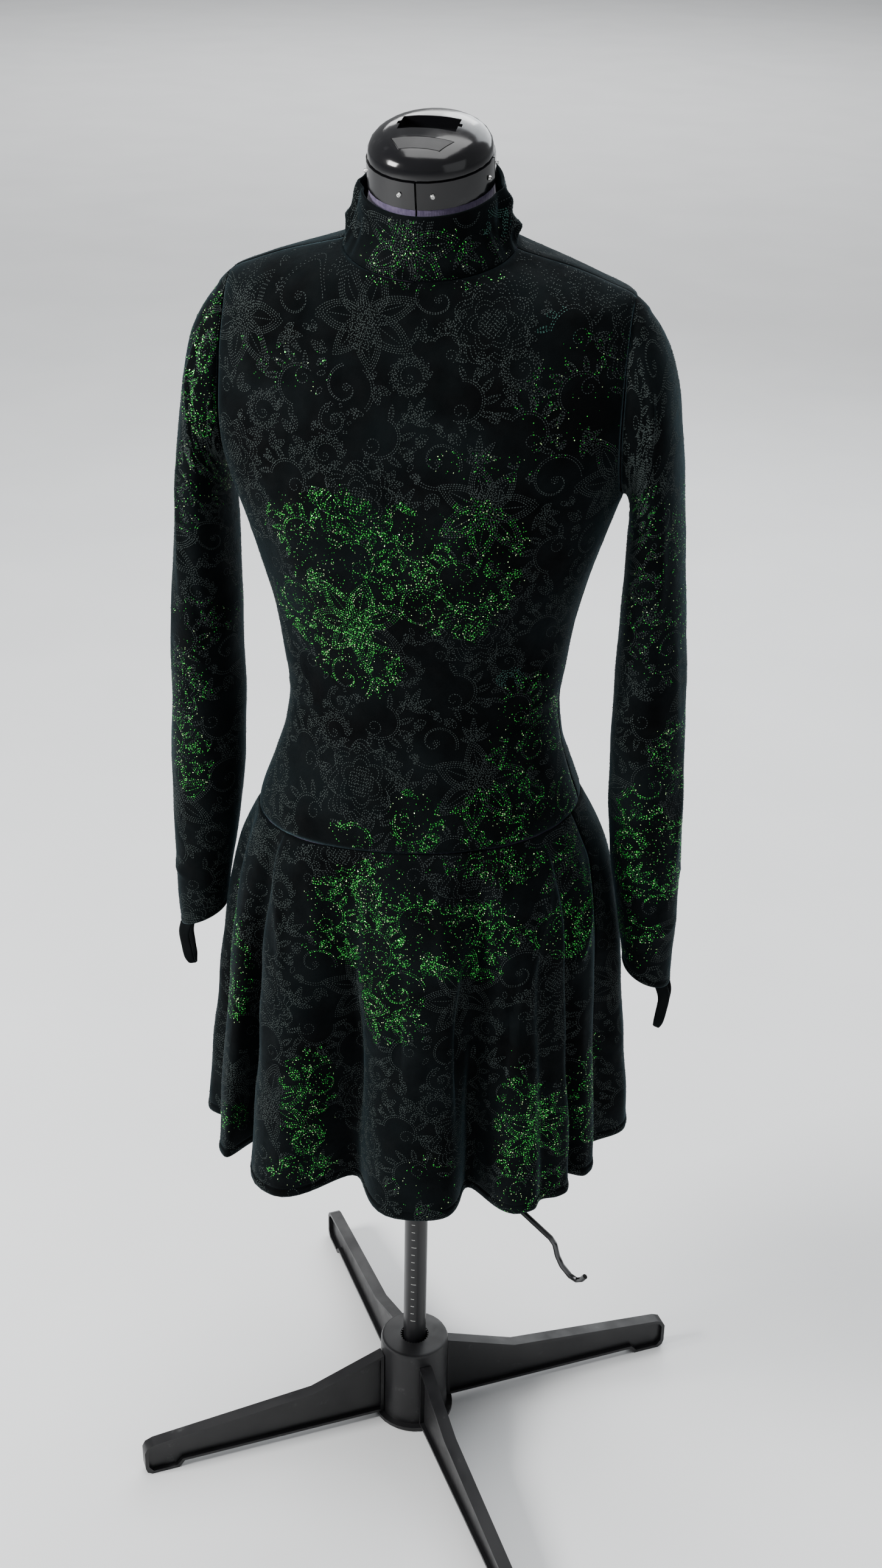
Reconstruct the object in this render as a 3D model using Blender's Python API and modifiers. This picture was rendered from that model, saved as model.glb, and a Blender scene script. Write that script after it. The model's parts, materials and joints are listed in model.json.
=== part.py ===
"""Velvet dance dress on a limbless dress form and its four-legged stand.

Metres, +Z up. The origin is on the floor under the pole, and the front faces -Y, so the
wearer's left is at +X. Cloth pieces are thin walls worked out from one body shape, one
sleeve table and one table of skirt folds.
"""

from collections import namedtuple
from math import asin, cos, pi, radians, sin

import bmesh
import bpy
import numpy as np
from mathutils import Matrix, Vector

# Cloth
CLOTH = 0.0014
CLOTH_CLEAR = 0.0012
SEAM_GAP = 0.0004
COLLAR_CLOTH = 0.0024

# Dress heights and the cut's main lines
DROP_SEAM = 0.761
HEM = 0.388
HIKE = 0.08
HIKE_ENDS = 0.868
UNDERARM = 1.072
SHOULDER = 1.232
NECKLINE = 1.264
ARMHOLE_X = 0.168
SIDE_COLUMNS = 8
ARMHOLE_ROWS = 7

# Dress form
FORM_WALL = 0.004
FORM_BOTTOM = 0.668
NECK_TOP = 1.3145
NECK_TILT = radians(13.5)
NECK_HALF_WIDTH = 0.0515
NECK_HALF_DEPTH = 0.0565
NECK_SIDES = 32
BAND_HEIGHT = 0.022
BAND_THICK = 0.0052
BAND_SPLIT = 0.0016
DOME_RISE = 0.0245
DOME_POWER = 2.4
SCREW_RADIUS = 0.0021
SCREW_OFFSET = 0.0148
FIT = 0.0003

# Pole and what grips it
POLE_RADIUS = 0.012
POLE_FOOT = 0.0103
POLE_HEAD = 1.22
RUNNING = 0.0004
CARRIER_FOOT = 0.6665
CARRIER_HEAD = 1.292
CARRIER_RADIUS = 0.0158
ARM_HEIGHT = 0.695
CLAMP_RADIUS = 0.024
CLAMP_HEIGHT = 0.026

# Base
HUB_RADIUS = 0.0362
HUB_TOP = 0.102
HUB_FLANGE = 0.0424
HUB_MOUTH = 0.0152
LEG_START = 0.0366
LEG_LENGTH = 0.300
LEG_WIDTH = 0.013
LEG_WEB = 0.004
LEG_TURN = radians(32.3)
LEG_COUNT = 4

# Hem gauge
GAUGE_TURN = radians(-18)
GAUGE_RADIUS = 0.021
GAUGE_STOP = (0.352, 0.366)
GAUGE_RING = (0.3664, 0.392)
GAUGE_WIRE = 0.0028

# A row is an oval at one height. Its front half is tilted by front_tilt, so that the neckline
# dips, and its back half by back_tilt.
BodyRow = namedtuple("BodyRow", "height front_tilt back_tilt half_width front back squareness")
BODY = [
    BodyRow(0.668, 0.00, 0.00, 0.1560, 0.1120, 0.1200, 2.2),
    BodyRow(0.705, 0.00, 0.00, 0.1555, 0.1160, 0.1230, 2.2),
    BodyRow(0.757, 0.00, 0.00, 0.1480, 0.1154, 0.1190, 2.2),
    BodyRow(0.800, 0.00, 0.00, 0.1335, 0.1060, 0.1070, 2.2),
    BodyRow(0.835, 0.00, 0.00, 0.1235, 0.0940, 0.0920, 2.1),
    BodyRow(0.868, 0.00, 0.00, 0.1200, 0.0870, 0.0820, 2.1),
    BodyRow(0.905, 0.00, 0.00, 0.1245, 0.0870, 0.0800, 2.1),
    BodyRow(0.945, 0.00, 0.00, 0.1305, 0.0930, 0.0840, 2.1),
    BodyRow(0.985, 0.00, 0.00, 0.1400, 0.1010, 0.0890, 2.2),
    BodyRow(1.030, 0.00, 0.00, 0.1535, 0.1050, 0.0940, 2.3),
    BodyRow(1.072, 0.02, 0.00, 0.1680, 0.1045, 0.0970, 2.4),
    BodyRow(1.105, 0.05, 0.00, 0.1780, 0.1005, 0.0985, 2.4),
    BodyRow(1.140, 0.08, 0.00, 0.1835, 0.0930, 0.0970, 2.4),
    BodyRow(1.178, 0.12, 0.00, 0.1830, 0.0820, 0.0900, 2.4),
    BodyRow(1.208, 0.17, 0.00, 0.1765, 0.0720, 0.0800, 2.3),
    BodyRow(1.232, 0.20, 0.01, 0.1680, 0.0640, 0.0700, 2.2),
    BodyRow(1.243, 0.24, 0.03, 0.1430, 0.0615, 0.0670, 2.1),
    BodyRow(1.252, 0.27, 0.07, 0.1160, 0.0605, 0.0650, 2.0),
    BodyRow(1.2585, 0.29, 0.12, 0.0900, 0.0595, 0.0635, 2.0),
    BodyRow(1.264, 0.30, 0.17, 0.0700, 0.0580, 0.0610, 2.0),
    BodyRow(1.275, 0.29, 0.21, 0.0590, 0.0565, 0.0580, 2.0),
    BodyRow(1.290, 0.27, 0.24, 0.0530, 0.0555, 0.0555, 2.0),
    BodyRow(1.3145, 0.24, 0.24, 0.0498, 0.0545, 0.0545, 2.0),
]

BustForm = namedtuple("BustForm", "x height radius rise")
BUST = BustForm(0.074, 1.040, 0.052, 0.011)

CollarRow = namedtuple("CollarRow", "height front_tilt back_tilt half_width front back")
COLLAR = [
    CollarRow(1.2720, 0.300, 0.190, 0.0695, 0.0630, 0.0650),
    CollarRow(1.2800, 0.295, 0.210, 0.0672, 0.0625, 0.0635),
    CollarRow(1.2930, 0.290, 0.240, 0.0642, 0.0620, 0.0620),
    CollarRow(1.3040, 0.285, 0.265, 0.0612, 0.0615, 0.0610),
    CollarRow(1.3130, 0.280, 0.280, 0.0590, 0.0610, 0.0605),
]

SleeveRow = namedtuple("SleeveRow", "top_x top_z under_x under_z half_depth armhole_share")
SLEEVE = [
    SleeveRow(0.1785, 1.2230, 0.1740, 1.0700, 0.0520, 0.70),
    SleeveRow(0.1900, 1.2090, 0.1754, 1.0668, 0.0525, 0.40),
    SleeveRow(0.2005, 1.1890, 0.1762, 1.0620, 0.0525, 0.15),
    SleeveRow(0.2085, 1.1600, 0.1764, 1.0560, 0.0520, 0.00),
    SleeveRow(0.2138, 1.1260, 0.1762, 1.0480, 0.0515, 0.00),
    SleeveRow(0.2185, 1.0860, 0.1756, 1.0350, 0.0505, 0.00),
    SleeveRow(0.2230, 1.0420, 0.1746, 1.0120, 0.0490, 0.00),
    SleeveRow(0.2272, 0.9950, 0.1732, 0.9790, 0.0470, 0.00),
    SleeveRow(0.2312, 0.9420, 0.1716, 0.9360, 0.0450, 0.00),
    SleeveRow(0.2350, 0.8870, 0.1712, 0.8860, 0.0425, 0.00),
    SleeveRow(0.2378, 0.8300, 0.1708, 0.8300, 0.0400, 0.00),
    SleeveRow(0.2400, 0.7750, 0.1725, 0.7750, 0.0370, 0.00),
    SleeveRow(0.2418, 0.7150, 0.1790, 0.7150, 0.0335, 0.00),
    SleeveRow(0.2425, 0.6560, 0.1885, 0.6600, 0.0290, 0.00),
    SleeveRow(0.2405, 0.5920, 0.1955, 0.6120, 0.0245, 0.00),
]

SkirtRow = namedtuple("SkirtRow", "height half_width front back squareness")
SKIRT = [
    SkirtRow(0.7606, 0.1500, 0.1180, 0.1216, 2.2),
    SkirtRow(0.7430, 0.1600, 0.1245, 0.1280, 2.2),
    SkirtRow(0.7170, 0.1715, 0.1320, 0.1355, 2.1),
    SkirtRow(0.6650, 0.1840, 0.1400, 0.1450, 2.1),
    SkirtRow(0.5850, 0.1945, 0.1480, 0.1560, 2.0),
    SkirtRow(0.5260, 0.2000, 0.1530, 0.1630, 2.0),
    SkirtRow(0.4500, 0.2080, 0.1600, 0.1710, 2.0),
    SkirtRow(0.3880, 0.2130, 0.1650, 0.1780, 2.0),
]
SKIRT_STEPS = [0.7606, 0.7400, 0.7050, 0.6450, 0.5650, 0.4750, 0.3880]
FOLD_GROWTH = 1.2
SEAM_EASE = 0.085

# Angles are degrees round from the centre front towards +X, insets are millimetres in from
# the skirt's widest outline, both at the hem. Each fold is a crest, then the valley after it.
FoldRow = namedtuple("FoldRow", "crest_from crest_to crest_inset valley valley_inset")
FOLDS = [
    FoldRow(-97, -87, -7, -76, 42),
    FoldRow(-62, -57, 2, -66, 50),
    FoldRow(-36, -31, 1, -18, 62),
    FoldRow(4, 17, 8, 29, 52),
    FoldRow(37, 41, -3, 46, 8),
    FoldRow(50, 53, 4, 62, 28),
    FoldRow(64, 67, 12, 82, 34),
    FoldRow(94, 102, 4, 115, 40),
    FoldRow(125, 131, 4, 141, 48),
    FoldRow(151, 157, 2, 165, 42),
    FoldRow(174, 181, 0, 190, 48),
    FoldRow(199, 205, 3, 213, 40),
    FoldRow(221, 227, 2, 236, 48),
    FoldRow(242, 247, 5, 255, 30),
]
FRONT_SKIRT_FOLDS = 7
FOLD_SAMPLES = 3

LoopRow = namedtuple("LoopRow", "y z x half_width")
LOOP_TOP_Z = 0.5914
CUFF_SLOPE = 0.44
FINGER_LOOP = [
    LoopRow(-0.0078, 0.5914, 0.2325, 0.0078),
    LoopRow(-0.0072, 0.5780, 0.2365, 0.0056),
    LoopRow(-0.0064, 0.5620, 0.2350, 0.0052),
    LoopRow(-0.0056, 0.5490, 0.2338, 0.0052),
    LoopRow(-0.0030, 0.5418, 0.2332, 0.0050),
    LoopRow(0.0000, 0.5400, 0.2330, 0.0050),
    LoopRow(0.0030, 0.5418, 0.2332, 0.0050),
    LoopRow(0.0056, 0.5490, 0.2338, 0.0052),
    LoopRow(0.0064, 0.5620, 0.2350, 0.0052),
    LoopRow(0.0072, 0.5780, 0.2365, 0.0056),
    LoopRow(0.0078, 0.5914, 0.2325, 0.0078),
]
LOOP_THICK = 0.0022

RimPoint = namedtuple("RimPoint", "reach height")
LEG_OUTLINE = [
    RimPoint(LEG_START, 0.0075),
    RimPoint(0.2580, 0.0075),
    RimPoint(0.2640, 0.0000),
    RimPoint(0.2930, 0.0000),
    RimPoint(0.2982, 0.0030),
    RimPoint(LEG_LENGTH, 0.0090),
    RimPoint(LEG_LENGTH, 0.0300),
    RimPoint(0.2968, 0.0362),
    RimPoint(0.2890, 0.0395),
    RimPoint(0.1150, 0.0565),
    RimPoint(LEG_START, 0.0865),
]
LEG_POCKET = [
    RimPoint(0.0400, 0.0108),
    RimPoint(0.2600, 0.0108),
    RimPoint(0.2660, 0.0036),
    RimPoint(0.2915, 0.0036),
    RimPoint(0.2962, 0.0098),
    RimPoint(0.2962, 0.0290),
    RimPoint(0.2935, 0.0338),
    RimPoint(0.2870, 0.0362),
    RimPoint(0.1146, 0.0530),
    RimPoint(0.0400, 0.0816),
]

HUB_PROFILE = [
    RimPoint(0.0000, 0.0100),
    RimPoint(POLE_RADIUS + RUNNING, 0.0100),
    RimPoint(POLE_RADIUS + RUNNING, 0.0500),
    RimPoint(HUB_MOUTH, 0.0500),
    RimPoint(HUB_MOUTH, HUB_TOP),
    RimPoint(0.0322, HUB_TOP),
    RimPoint(0.0348, 0.1010),
    RimPoint(HUB_RADIUS, 0.0982),
    RimPoint(HUB_RADIUS, 0.0068),
    RimPoint(HUB_FLANGE, 0.0062),
    RimPoint(HUB_FLANGE, 0.0020),
    RimPoint(0.0000, 0.0020),
]

GAUGE_PATH = [
    RimPoint(GAUGE_RADIUS + FIT, 0.3785),
    RimPoint(0.0250, 0.3785),
    RimPoint(0.0300, 0.3762),
    RimPoint(0.0400, 0.3700),
    RimPoint(0.1292, 0.3182),
    RimPoint(0.1560, 0.3028),
    RimPoint(0.1610, 0.2970),
    RimPoint(0.1646, 0.2840),
    RimPoint(0.1700, 0.2740),
    RimPoint(0.1797, 0.2651),
    RimPoint(0.1868, 0.2630),
    RimPoint(0.1925, 0.2662),
    RimPoint(0.1962, 0.2718),
]

# (base colour, roughness, metallic) of each finish
FINISHES = {
    "velvet": ((0.012, 0.020, 0.020), 0.90, 0.0),
    "velvet_edge": ((0.008, 0.012, 0.014), 0.90, 0.0),
    "form_jersey": ((0.105, 0.080, 0.160), 0.95, 0.0),
    "form_plastic": ((0.030, 0.030, 0.034), 0.55, 0.0),
    "cap_gloss": ((0.030, 0.030, 0.032), 0.18, 0.0),
    "cap_matte": ((0.045, 0.045, 0.048), 0.70, 0.0),
    "screw_steel": ((0.620, 0.620, 0.610), 0.30, 1.0),
    "pole_black": ((0.012, 0.012, 0.013), 0.35, 0.0),
    "base_plastic": ((0.018, 0.018, 0.020), 0.50, 0.0),
    "gauge_steel": ((0.060, 0.060, 0.062), 0.28, 0.8),
}


def clear_scene():
    """Removes every object, mesh and curve of the startup scene."""
    for obj in list(bpy.data.objects):
        bpy.data.objects.remove(obj, do_unlink=True)


def make_collection(name, hidden=False):
    collection = bpy.data.collections.new(name)
    collection.hide_render = hidden
    bpy.context.scene.collection.children.link(collection)
    return collection


def finish(name):
    """The finish's material, made once."""
    found = bpy.data.materials.get(name)
    if found:
        return found
    colour, roughness, metallic = FINISHES[name]
    made = bpy.data.materials.new(name)
    made.use_nodes = True
    shader = made.node_tree.nodes["Principled BSDF"]
    shader.inputs["Base Color"].default_value = (*colour, 1.0)
    shader.inputs["Roughness"].default_value = roughness
    shader.inputs["Metallic"].default_value = metallic
    made.diffuse_color = (*colour, 1.0)
    return made


def add_piece(collection, name, mesh, look, parent=None):
    """Places a mesh as a named, smooth-shaded object with its finish."""
    piece = bpy.data.objects.new(name, mesh)
    mesh.materials.clear()
    mesh.materials.append(finish(look))
    mesh.shade_smooth()
    mesh.set_sharp_from_angle(angle=radians(35))
    collection.objects.link(piece)
    piece.parent = parent
    return piece


def mesh_of(name, build):
    """Makes a mesh from what a function puts into a bmesh, with its faces pointing out."""
    made = bpy.data.meshes.new(name)
    shape = bmesh.new()
    build(shape)
    bmesh.ops.recalc_face_normals(shape, faces=shape.faces)
    shape.to_mesh(made)
    shape.free()
    return made


def wall_mesh(name, outer, inner, closed=False):
    """A closed thin wall between two grids of points, rows by columns, and round if closed."""

    def build(shape):
        rows, columns = outer.shape[:2]
        sheets = [[[shape.verts.new(p) for p in row] for row in grid] for grid in (outer, inner)]
        front, back = sheets
        last = columns if closed else columns - 1
        for i in range(rows - 1):
            for j in range(last):
                k = (j + 1) % columns
                shape.faces.new((front[i][j], front[i][k], front[i + 1][k], front[i + 1][j]))
                shape.faces.new((back[i][j], back[i + 1][j], back[i + 1][k], back[i][k]))
        for i in (0, rows - 1):
            for j in range(last):
                k = (j + 1) % columns
                shape.faces.new((front[i][j], back[i][j], back[i][k], front[i][k]))
        if not closed:
            for j in (0, columns - 1):
                for i in range(rows - 1):
                    shape.faces.new((front[i][j], front[i + 1][j], back[i + 1][j], back[i][j]))

    return mesh_of(name, build)


def turned(collection, name, profile, look, parent=None, sides=28):
    """A profile of (radius, height), listed down its outer side, turned round the Z axis.

    A profile that starts on the axis also ends there. Any other one is closed into a ring.
    """
    mesh = bpy.data.meshes.new(name)
    edges = [(i, i + 1) for i in range(len(profile) - 1)]
    if profile[0][0] > 0:
        edges.append((len(profile) - 1, 0))
    mesh.from_pydata([(radius, 0.0, height) for radius, height in profile], edges, [])
    piece = add_piece(collection, name, mesh, look, parent)
    screw = piece.modifiers.new("turn", "SCREW")
    screw.steps = screw.render_steps = sides
    screw.use_merge_vertices = True
    screw.merge_threshold = 0.0001
    return piece


def plate_mesh(name, outline, half_thickness):
    """An outline of (reach, height) in the X-Z plane, extruded both ways along Y."""

    def build(shape):
        corners = [shape.verts.new((p.reach, -half_thickness, p.height)) for p in outline]
        face = shape.faces.new(corners)
        extruded = bmesh.ops.extrude_face_region(shape, geom=[face])["geom"]
        moved = [item for item in extruded if isinstance(item, bmesh.types.BMVert)]
        bmesh.ops.translate(shape, verts=moved, vec=(0.0, 2 * half_thickness, 0.0))

    return mesh_of(name, build)


def box_mesh(name, low, high):
    """A box between two corners."""

    def build(shape):
        centre = (Vector(low) + Vector(high)) / 2
        size = Vector(high) - Vector(low)
        matrix = Matrix.Translation(centre) @ Matrix.Diagonal((*size, 1.0))
        bmesh.ops.create_cube(shape, size=1.0, matrix=matrix)

    return mesh_of(name, build)


def combined(target, cutters, operation):
    """The target's mesh after one Boolean for each cutter, read from the evaluated object."""
    for cutter in cutters:
        step = target.modifiers.new(cutter.name, "BOOLEAN")
        step.operation = operation
        step.solver = "EXACT"
        step.object = cutter
    bpy.context.view_layer.update()
    evaluated = target.evaluated_get(bpy.context.evaluated_depsgraph_get())
    made = bpy.data.meshes.new_from_object(evaluated)
    target.modifiers.clear()
    return made


def slopes(heights, values):
    """The monotone cubic's slope at each row."""
    steps = np.diff(heights)
    rise = np.diff(values) / steps
    out = np.zeros(len(values))
    out[0], out[-1] = rise[0], rise[-1]
    for i in range(1, len(values) - 1):
        before, after = rise[i - 1], rise[i]
        if before * after <= 0:
            continue
        heavy = 2 * steps[i] + steps[i - 1]
        light = steps[i] + 2 * steps[i - 1]
        out[i] = (heavy + light) / (heavy / before + light / after)
    return out


class Table:
    """Rows with named columns, read at any height along a smooth curve."""

    def __init__(self, rows):
        rows = sorted(rows, key=lambda row: row.height)
        self.kind = type(rows[0])
        self.heights = np.array([row.height for row in rows])
        self.columns = np.array(rows, float).T
        self.slopes = [slopes(self.heights, column) for column in self.columns]

    def at(self, height):
        height = min(max(height, self.heights[0]), self.heights[-1])
        i = min(int(np.searchsorted(self.heights, height, side="right")) - 1, len(self.heights) - 2)
        step = self.heights[i + 1] - self.heights[i]
        t = (height - self.heights[i]) / step
        values = []
        for column, slope in zip(self.columns, self.slopes):
            start = (1 + 2 * t) * (1 - t) ** 2 * column[i] + t * (1 - t) ** 2 * step * slope[i]
            end = t * t * (3 - 2 * t) * column[i + 1] - t * t * (1 - t) * step * slope[i + 1]
            values.append(start + end)
        values[0] = height
        return self.kind(*values)


BODY_TABLE = Table(BODY)
SKIRT_TABLE = Table(SKIRT)


def oval(row, angle, power=2.0):
    """(x, y) on a row's oval, which has one depth in front and another behind."""
    s, c = sin(angle), cos(angle)
    reach = 2.0 / power
    x = row.half_width * np.sign(s) * abs(s) ** reach
    depth = row.front if c > 0 else row.back
    return x, -np.sign(c) * depth * abs(c) ** reach


def tilt_at(row, y):
    """The row's rise for each metre towards the back."""
    return row.front_tilt if y < 0 else row.back_tilt


def body_point(angle, height):
    """A point on the dress form's skin."""
    row = BODY_TABLE.at(height)
    x, y = oval(row, angle, row.squareness)
    if y < 0:
        off = min(abs(x - BUST.x), abs(x + BUST.x)) ** 2 + (height - BUST.height) ** 2
        y -= BUST.rise * np.exp(-off / BUST.radius**2) * min(1.0, -y / BUST.radius)
    return np.array((x, y, height + tilt_at(row, y) * y))


def body_normal(angle, height):
    """The skin's direction out."""
    turn, lift = 0.02, 0.0015
    low = max(height - lift, FORM_BOTTOM)
    high = min(height + lift, NECK_TOP)
    across = body_point(angle + turn, height) - body_point(angle - turn, height)
    up = body_point(angle, high) - body_point(angle, low)
    out = np.cross(across, up)
    return out / np.linalg.norm(out)


def armhole_angle(height):
    """How far round a panel reaches: to the side seam, or to the armhole."""
    row = BODY_TABLE.at(height)
    if height <= UNDERARM or height >= SHOULDER or row.half_width <= ARMHOLE_X:
        return pi / 2
    return asin((ARMHOLE_X / row.half_width) ** (row.squareness / 2))


def hiked(height, x):
    """Lower rows climb towards +X, as the drop seam does."""
    share = min(max((HIKE_ENDS - height) / (HIKE_ENDS - DROP_SEAM), 0.0), 1.0)
    return height + HIKE * x * share


def bodice_heights():
    """The panels' rows, from the drop seam to the neckline."""
    below = [DROP_SEAM, 0.785, 0.812, 0.840, 0.868, 0.897, 0.928, 0.962, 0.998, 1.035]
    armhole = [
        UNDERARM + (SHOULDER - UNDERARM) * (1 - cos(pi * j / ARMHOLE_ROWS)) / 2
        for j in range(ARMHOLE_ROWS + 1)
    ]
    return below + armhole + [1.243, 1.252, 1.2585, NECKLINE]


def panel_grid(centre_angle, offset, heights, follow_hem=True):
    """A front (0) or back (pi) panel's points, at an offset out from the skin."""
    shares = np.linspace(-1, 1, 2 * SIDE_COLUMNS + 1)
    grid = []
    for height in heights:
        reach = armhole_angle(height)
        line = []
        for share in shares:
            angle = centre_angle + share * reach
            level = hiked(height, body_point(angle, height)[0]) if follow_hem else height
            line.append(body_point(angle, level) + offset * body_normal(angle, level))
        grid.append(line)
    return np.array(grid)


def drawn_in(grid, amount):
    """The grid with its first and last columns moved towards their neighbours."""
    moved = grid.copy()
    for edge, beside in ((0, 1), (-1, -2)):
        step = grid[:, beside] - grid[:, edge]
        moved[:, edge] += amount * step / np.linalg.norm(step, axis=1, keepdims=True)
    return moved


def make_bodice(collection):
    """Front and back panels, each from side to side and from drop seam to shoulder."""
    sheets = {}
    for name, centre in (("bodice_front", 0.0), ("bodice_back", pi)):
        heights = bodice_heights()
        inner = panel_grid(centre, CLOTH_CLEAR, heights)
        outer = panel_grid(centre, CLOTH_CLEAR + CLOTH, heights)
        sheets[name] = (outer, inner)
        edges = [drawn_in(grid, SEAM_GAP / 2) for grid in (outer, inner)]
        add_piece(collection, name, wall_mesh(name, *edges), "velvet")
    return sheets


def grid_normals(grid, closed):
    """Unit directions across a grid's surface at each point."""
    if closed:
        across = np.roll(grid, -1, axis=1) - np.roll(grid, 1, axis=1)
    else:
        across = np.gradient(grid, axis=1)
    along = np.gradient(grid, axis=0)
    out = np.cross(across, along)
    return out / np.linalg.norm(out, axis=2, keepdims=True)


def armhole_loop(sheets):
    """The +X armhole edge: down the front from the shoulder, then up the back."""
    first = bodice_heights().index(UNDERARM)
    last = first + ARMHOLE_ROWS
    loops = []
    for sheet in (0, 1):
        front = sheets["bodice_front"][sheet][first : last + 1, -1]
        back = sheets["bodice_back"][sheet][first : last + 1, 0]
        loops.append(np.concatenate([front[::-1], back[1:-1]]))
    return loops


def sleeve_mid(sheets):
    """The sleeve's middle surface, from the armhole to the cuff."""
    outer, inner = armhole_loop(sheets)
    start = (outer + inner) / 2
    start[:, 0] = np.maximum(outer[:, 0], inner[:, 0]) + SEAM_GAP
    count = len(start)
    turns = [2 * pi * k / count for k in range(count)]

    def section(top, under, half_depth):
        middle, reach = (top + under) / 2, (top - under) / 2
        depth = np.array((0.0, -half_depth, 0.0))
        return np.array([middle + cos(a) * reach + sin(a) * depth for a in turns])

    half_depth = np.ptp(start[:, 1]) / 2
    plain = section(start[0], start[count // 2], half_depth)
    rings = [start]
    for row in SLEEVE:
        top = np.array((row.top_x - CLOTH / 2, 0.0, row.top_z))
        under = np.array((row.under_x + CLOTH / 2, 0.0, row.under_z))
        rings.append(section(top, under, row.half_depth) + row.armhole_share * (start - plain))
    return np.array(rings)


def add_pair(collection, name, mesh, look):
    """The wearer's left piece, and the right one as its mirror image."""
    add_piece(collection, f"{name}_left", mesh, look)
    right = bpy.data.objects.new(f"{name}_right", mesh)
    right.scale.x = -1.0
    collection.objects.link(right)


def make_sleeves(collection, sheets):
    """Two long sleeves that hang from the armholes."""
    mid = sleeve_mid(sheets)
    out = grid_normals(mid, closed=True)
    if (out[-3, 0] @ np.array((1.0, 0.0, 0.0))) < 0:
        out = -out
    out[0] = out[1]
    out[0, :, 0] = 0.0
    out[0] /= np.linalg.norm(out[0], axis=1, keepdims=True)
    outer, inner = mid + out * CLOTH / 2, mid - out * CLOTH / 2
    add_pair(collection, "sleeve", wall_mesh("sleeve", outer, inner, closed=True), "velvet")


def loop_grids():
    """The finger loop's two faces: a narrow strap down, round and up again."""
    rows = []
    for row in FINGER_LOOP:
        line = []
        for side in (-1.0, 0.0, 1.0):
            x = row.x + side * row.half_width
            at_cuff = row.z == LOOP_TOP_Z
            z = row.z + CUFF_SLOPE * (0.2405 - x) - 0.0004 if at_cuff else row.z
            line.append((x, row.y, z))
        rows.append(line)
    mid = np.array(rows)
    out = grid_normals(mid, closed=False)
    out[:, :, 0] = 0.0
    out /= np.linalg.norm(out, axis=2, keepdims=True)
    return mid + out * LOOP_THICK / 2, mid - out * LOOP_THICK / 2


def make_finger_loops(collection):
    """A loop under the outer corner of each cuff."""
    add_pair(collection, "finger_loop", wall_mesh("finger_loop", *loop_grids()), "velvet_edge")


def make_collar(collection, sheets):
    """The turned-over band of the mock neck, standing off the form's neck."""
    rings = []
    for sheet in (0, 1):
        front = sheets["bodice_front"][sheet][-1]
        back = sheets["bodice_back"][sheet][-1]
        rings.append(np.concatenate([front, back[1:-1]]) + np.array((0.0, 0.0, SEAM_GAP)))
    count = len(rings[0])
    turns = [-pi / 2 + 2 * pi * k / count for k in range(count)]
    outer, inner = [rings[0]], [rings[1]]
    for row in COLLAR:
        for grid, thin in ((outer, 0.0), (inner, COLLAR_CLOTH)):
            shrunk = row._replace(
                half_width=row.half_width - thin, front=row.front - thin, back=row.back - thin
            )
            line = []
            for angle in turns:
                x, y = oval(shrunk, angle)
                line.append((x, y, row.height + tilt_at(row, y) * y))
            grid.append(line)
    mesh = wall_mesh("collar", np.array(outer), np.array(inner), closed=True)
    add_piece(collection, "collar", mesh, "velvet")


def fold_controls():
    """(angle, inset, angle at the seam) at each crest's two ends and at each valley.

    At the seam a valley is midway between its crests, though it may lean behind one below.
    """
    points = []
    for fold, following in zip(FOLDS, FOLDS[1:] + FOLDS[:1]):
        after = following.crest_from + (360 if following is FOLDS[0] else 0)
        points.append((fold.crest_from, fold.crest_inset, fold.crest_from))
        points.append((fold.crest_to, fold.crest_inset, fold.crest_to))
        points.append((fold.valley, fold.valley_inset, (fold.crest_to + after) / 2))
    return np.array(points, float)


def fold_line():
    """(angle, inset, angle at the seam) of each column: a smooth curve round the folds."""
    points = fold_controls()
    count = len(points)
    millimetres_a_degree = 3.0
    turn = np.array((360.0, 0.0, 360.0))
    places = np.array([points[k % count] + turn * (k // count) for k in range(-2, count + 3)])
    weights = np.array((millimetres_a_degree, 1.0))
    lengths = np.linalg.norm(np.diff(places[:, :2], axis=0) * weights, axis=1)
    line = []
    for i in range(2, count + 2):
        before, here, after = lengths[i - 1], lengths[i], lengths[i + 1]
        into = (places[i] - places[i - 1]) / before
        step = (places[i + 1] - places[i]) / here
        beyond = (places[i + 2] - places[i + 1]) / after
        start = (into * here + step * before) / (here + before)
        end = (step * after + beyond * here) / (after + here)
        for k in range(FOLD_SAMPLES):
            t = k / FOLD_SAMPLES
            first = (1 + 2 * t) * (1 - t) ** 2 * places[i] + t * (1 - t) ** 2 * here * start
            second = t * t * (3 - 2 * t) * places[i + 1] - t * t * (1 - t) * here * end
            line.append(first + second)
    return [(radians(hem), inset / 1000, radians(seam)) for hem, inset, seam in line]


def seam_point(angle):
    """The bodice's lower edge, which the skirt hangs from."""
    level = hiked(DROP_SEAM, body_point(angle, DROP_SEAM)[0])
    return body_point(angle, level) + (CLOTH_CLEAR + CLOTH) * body_normal(angle, level)


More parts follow.
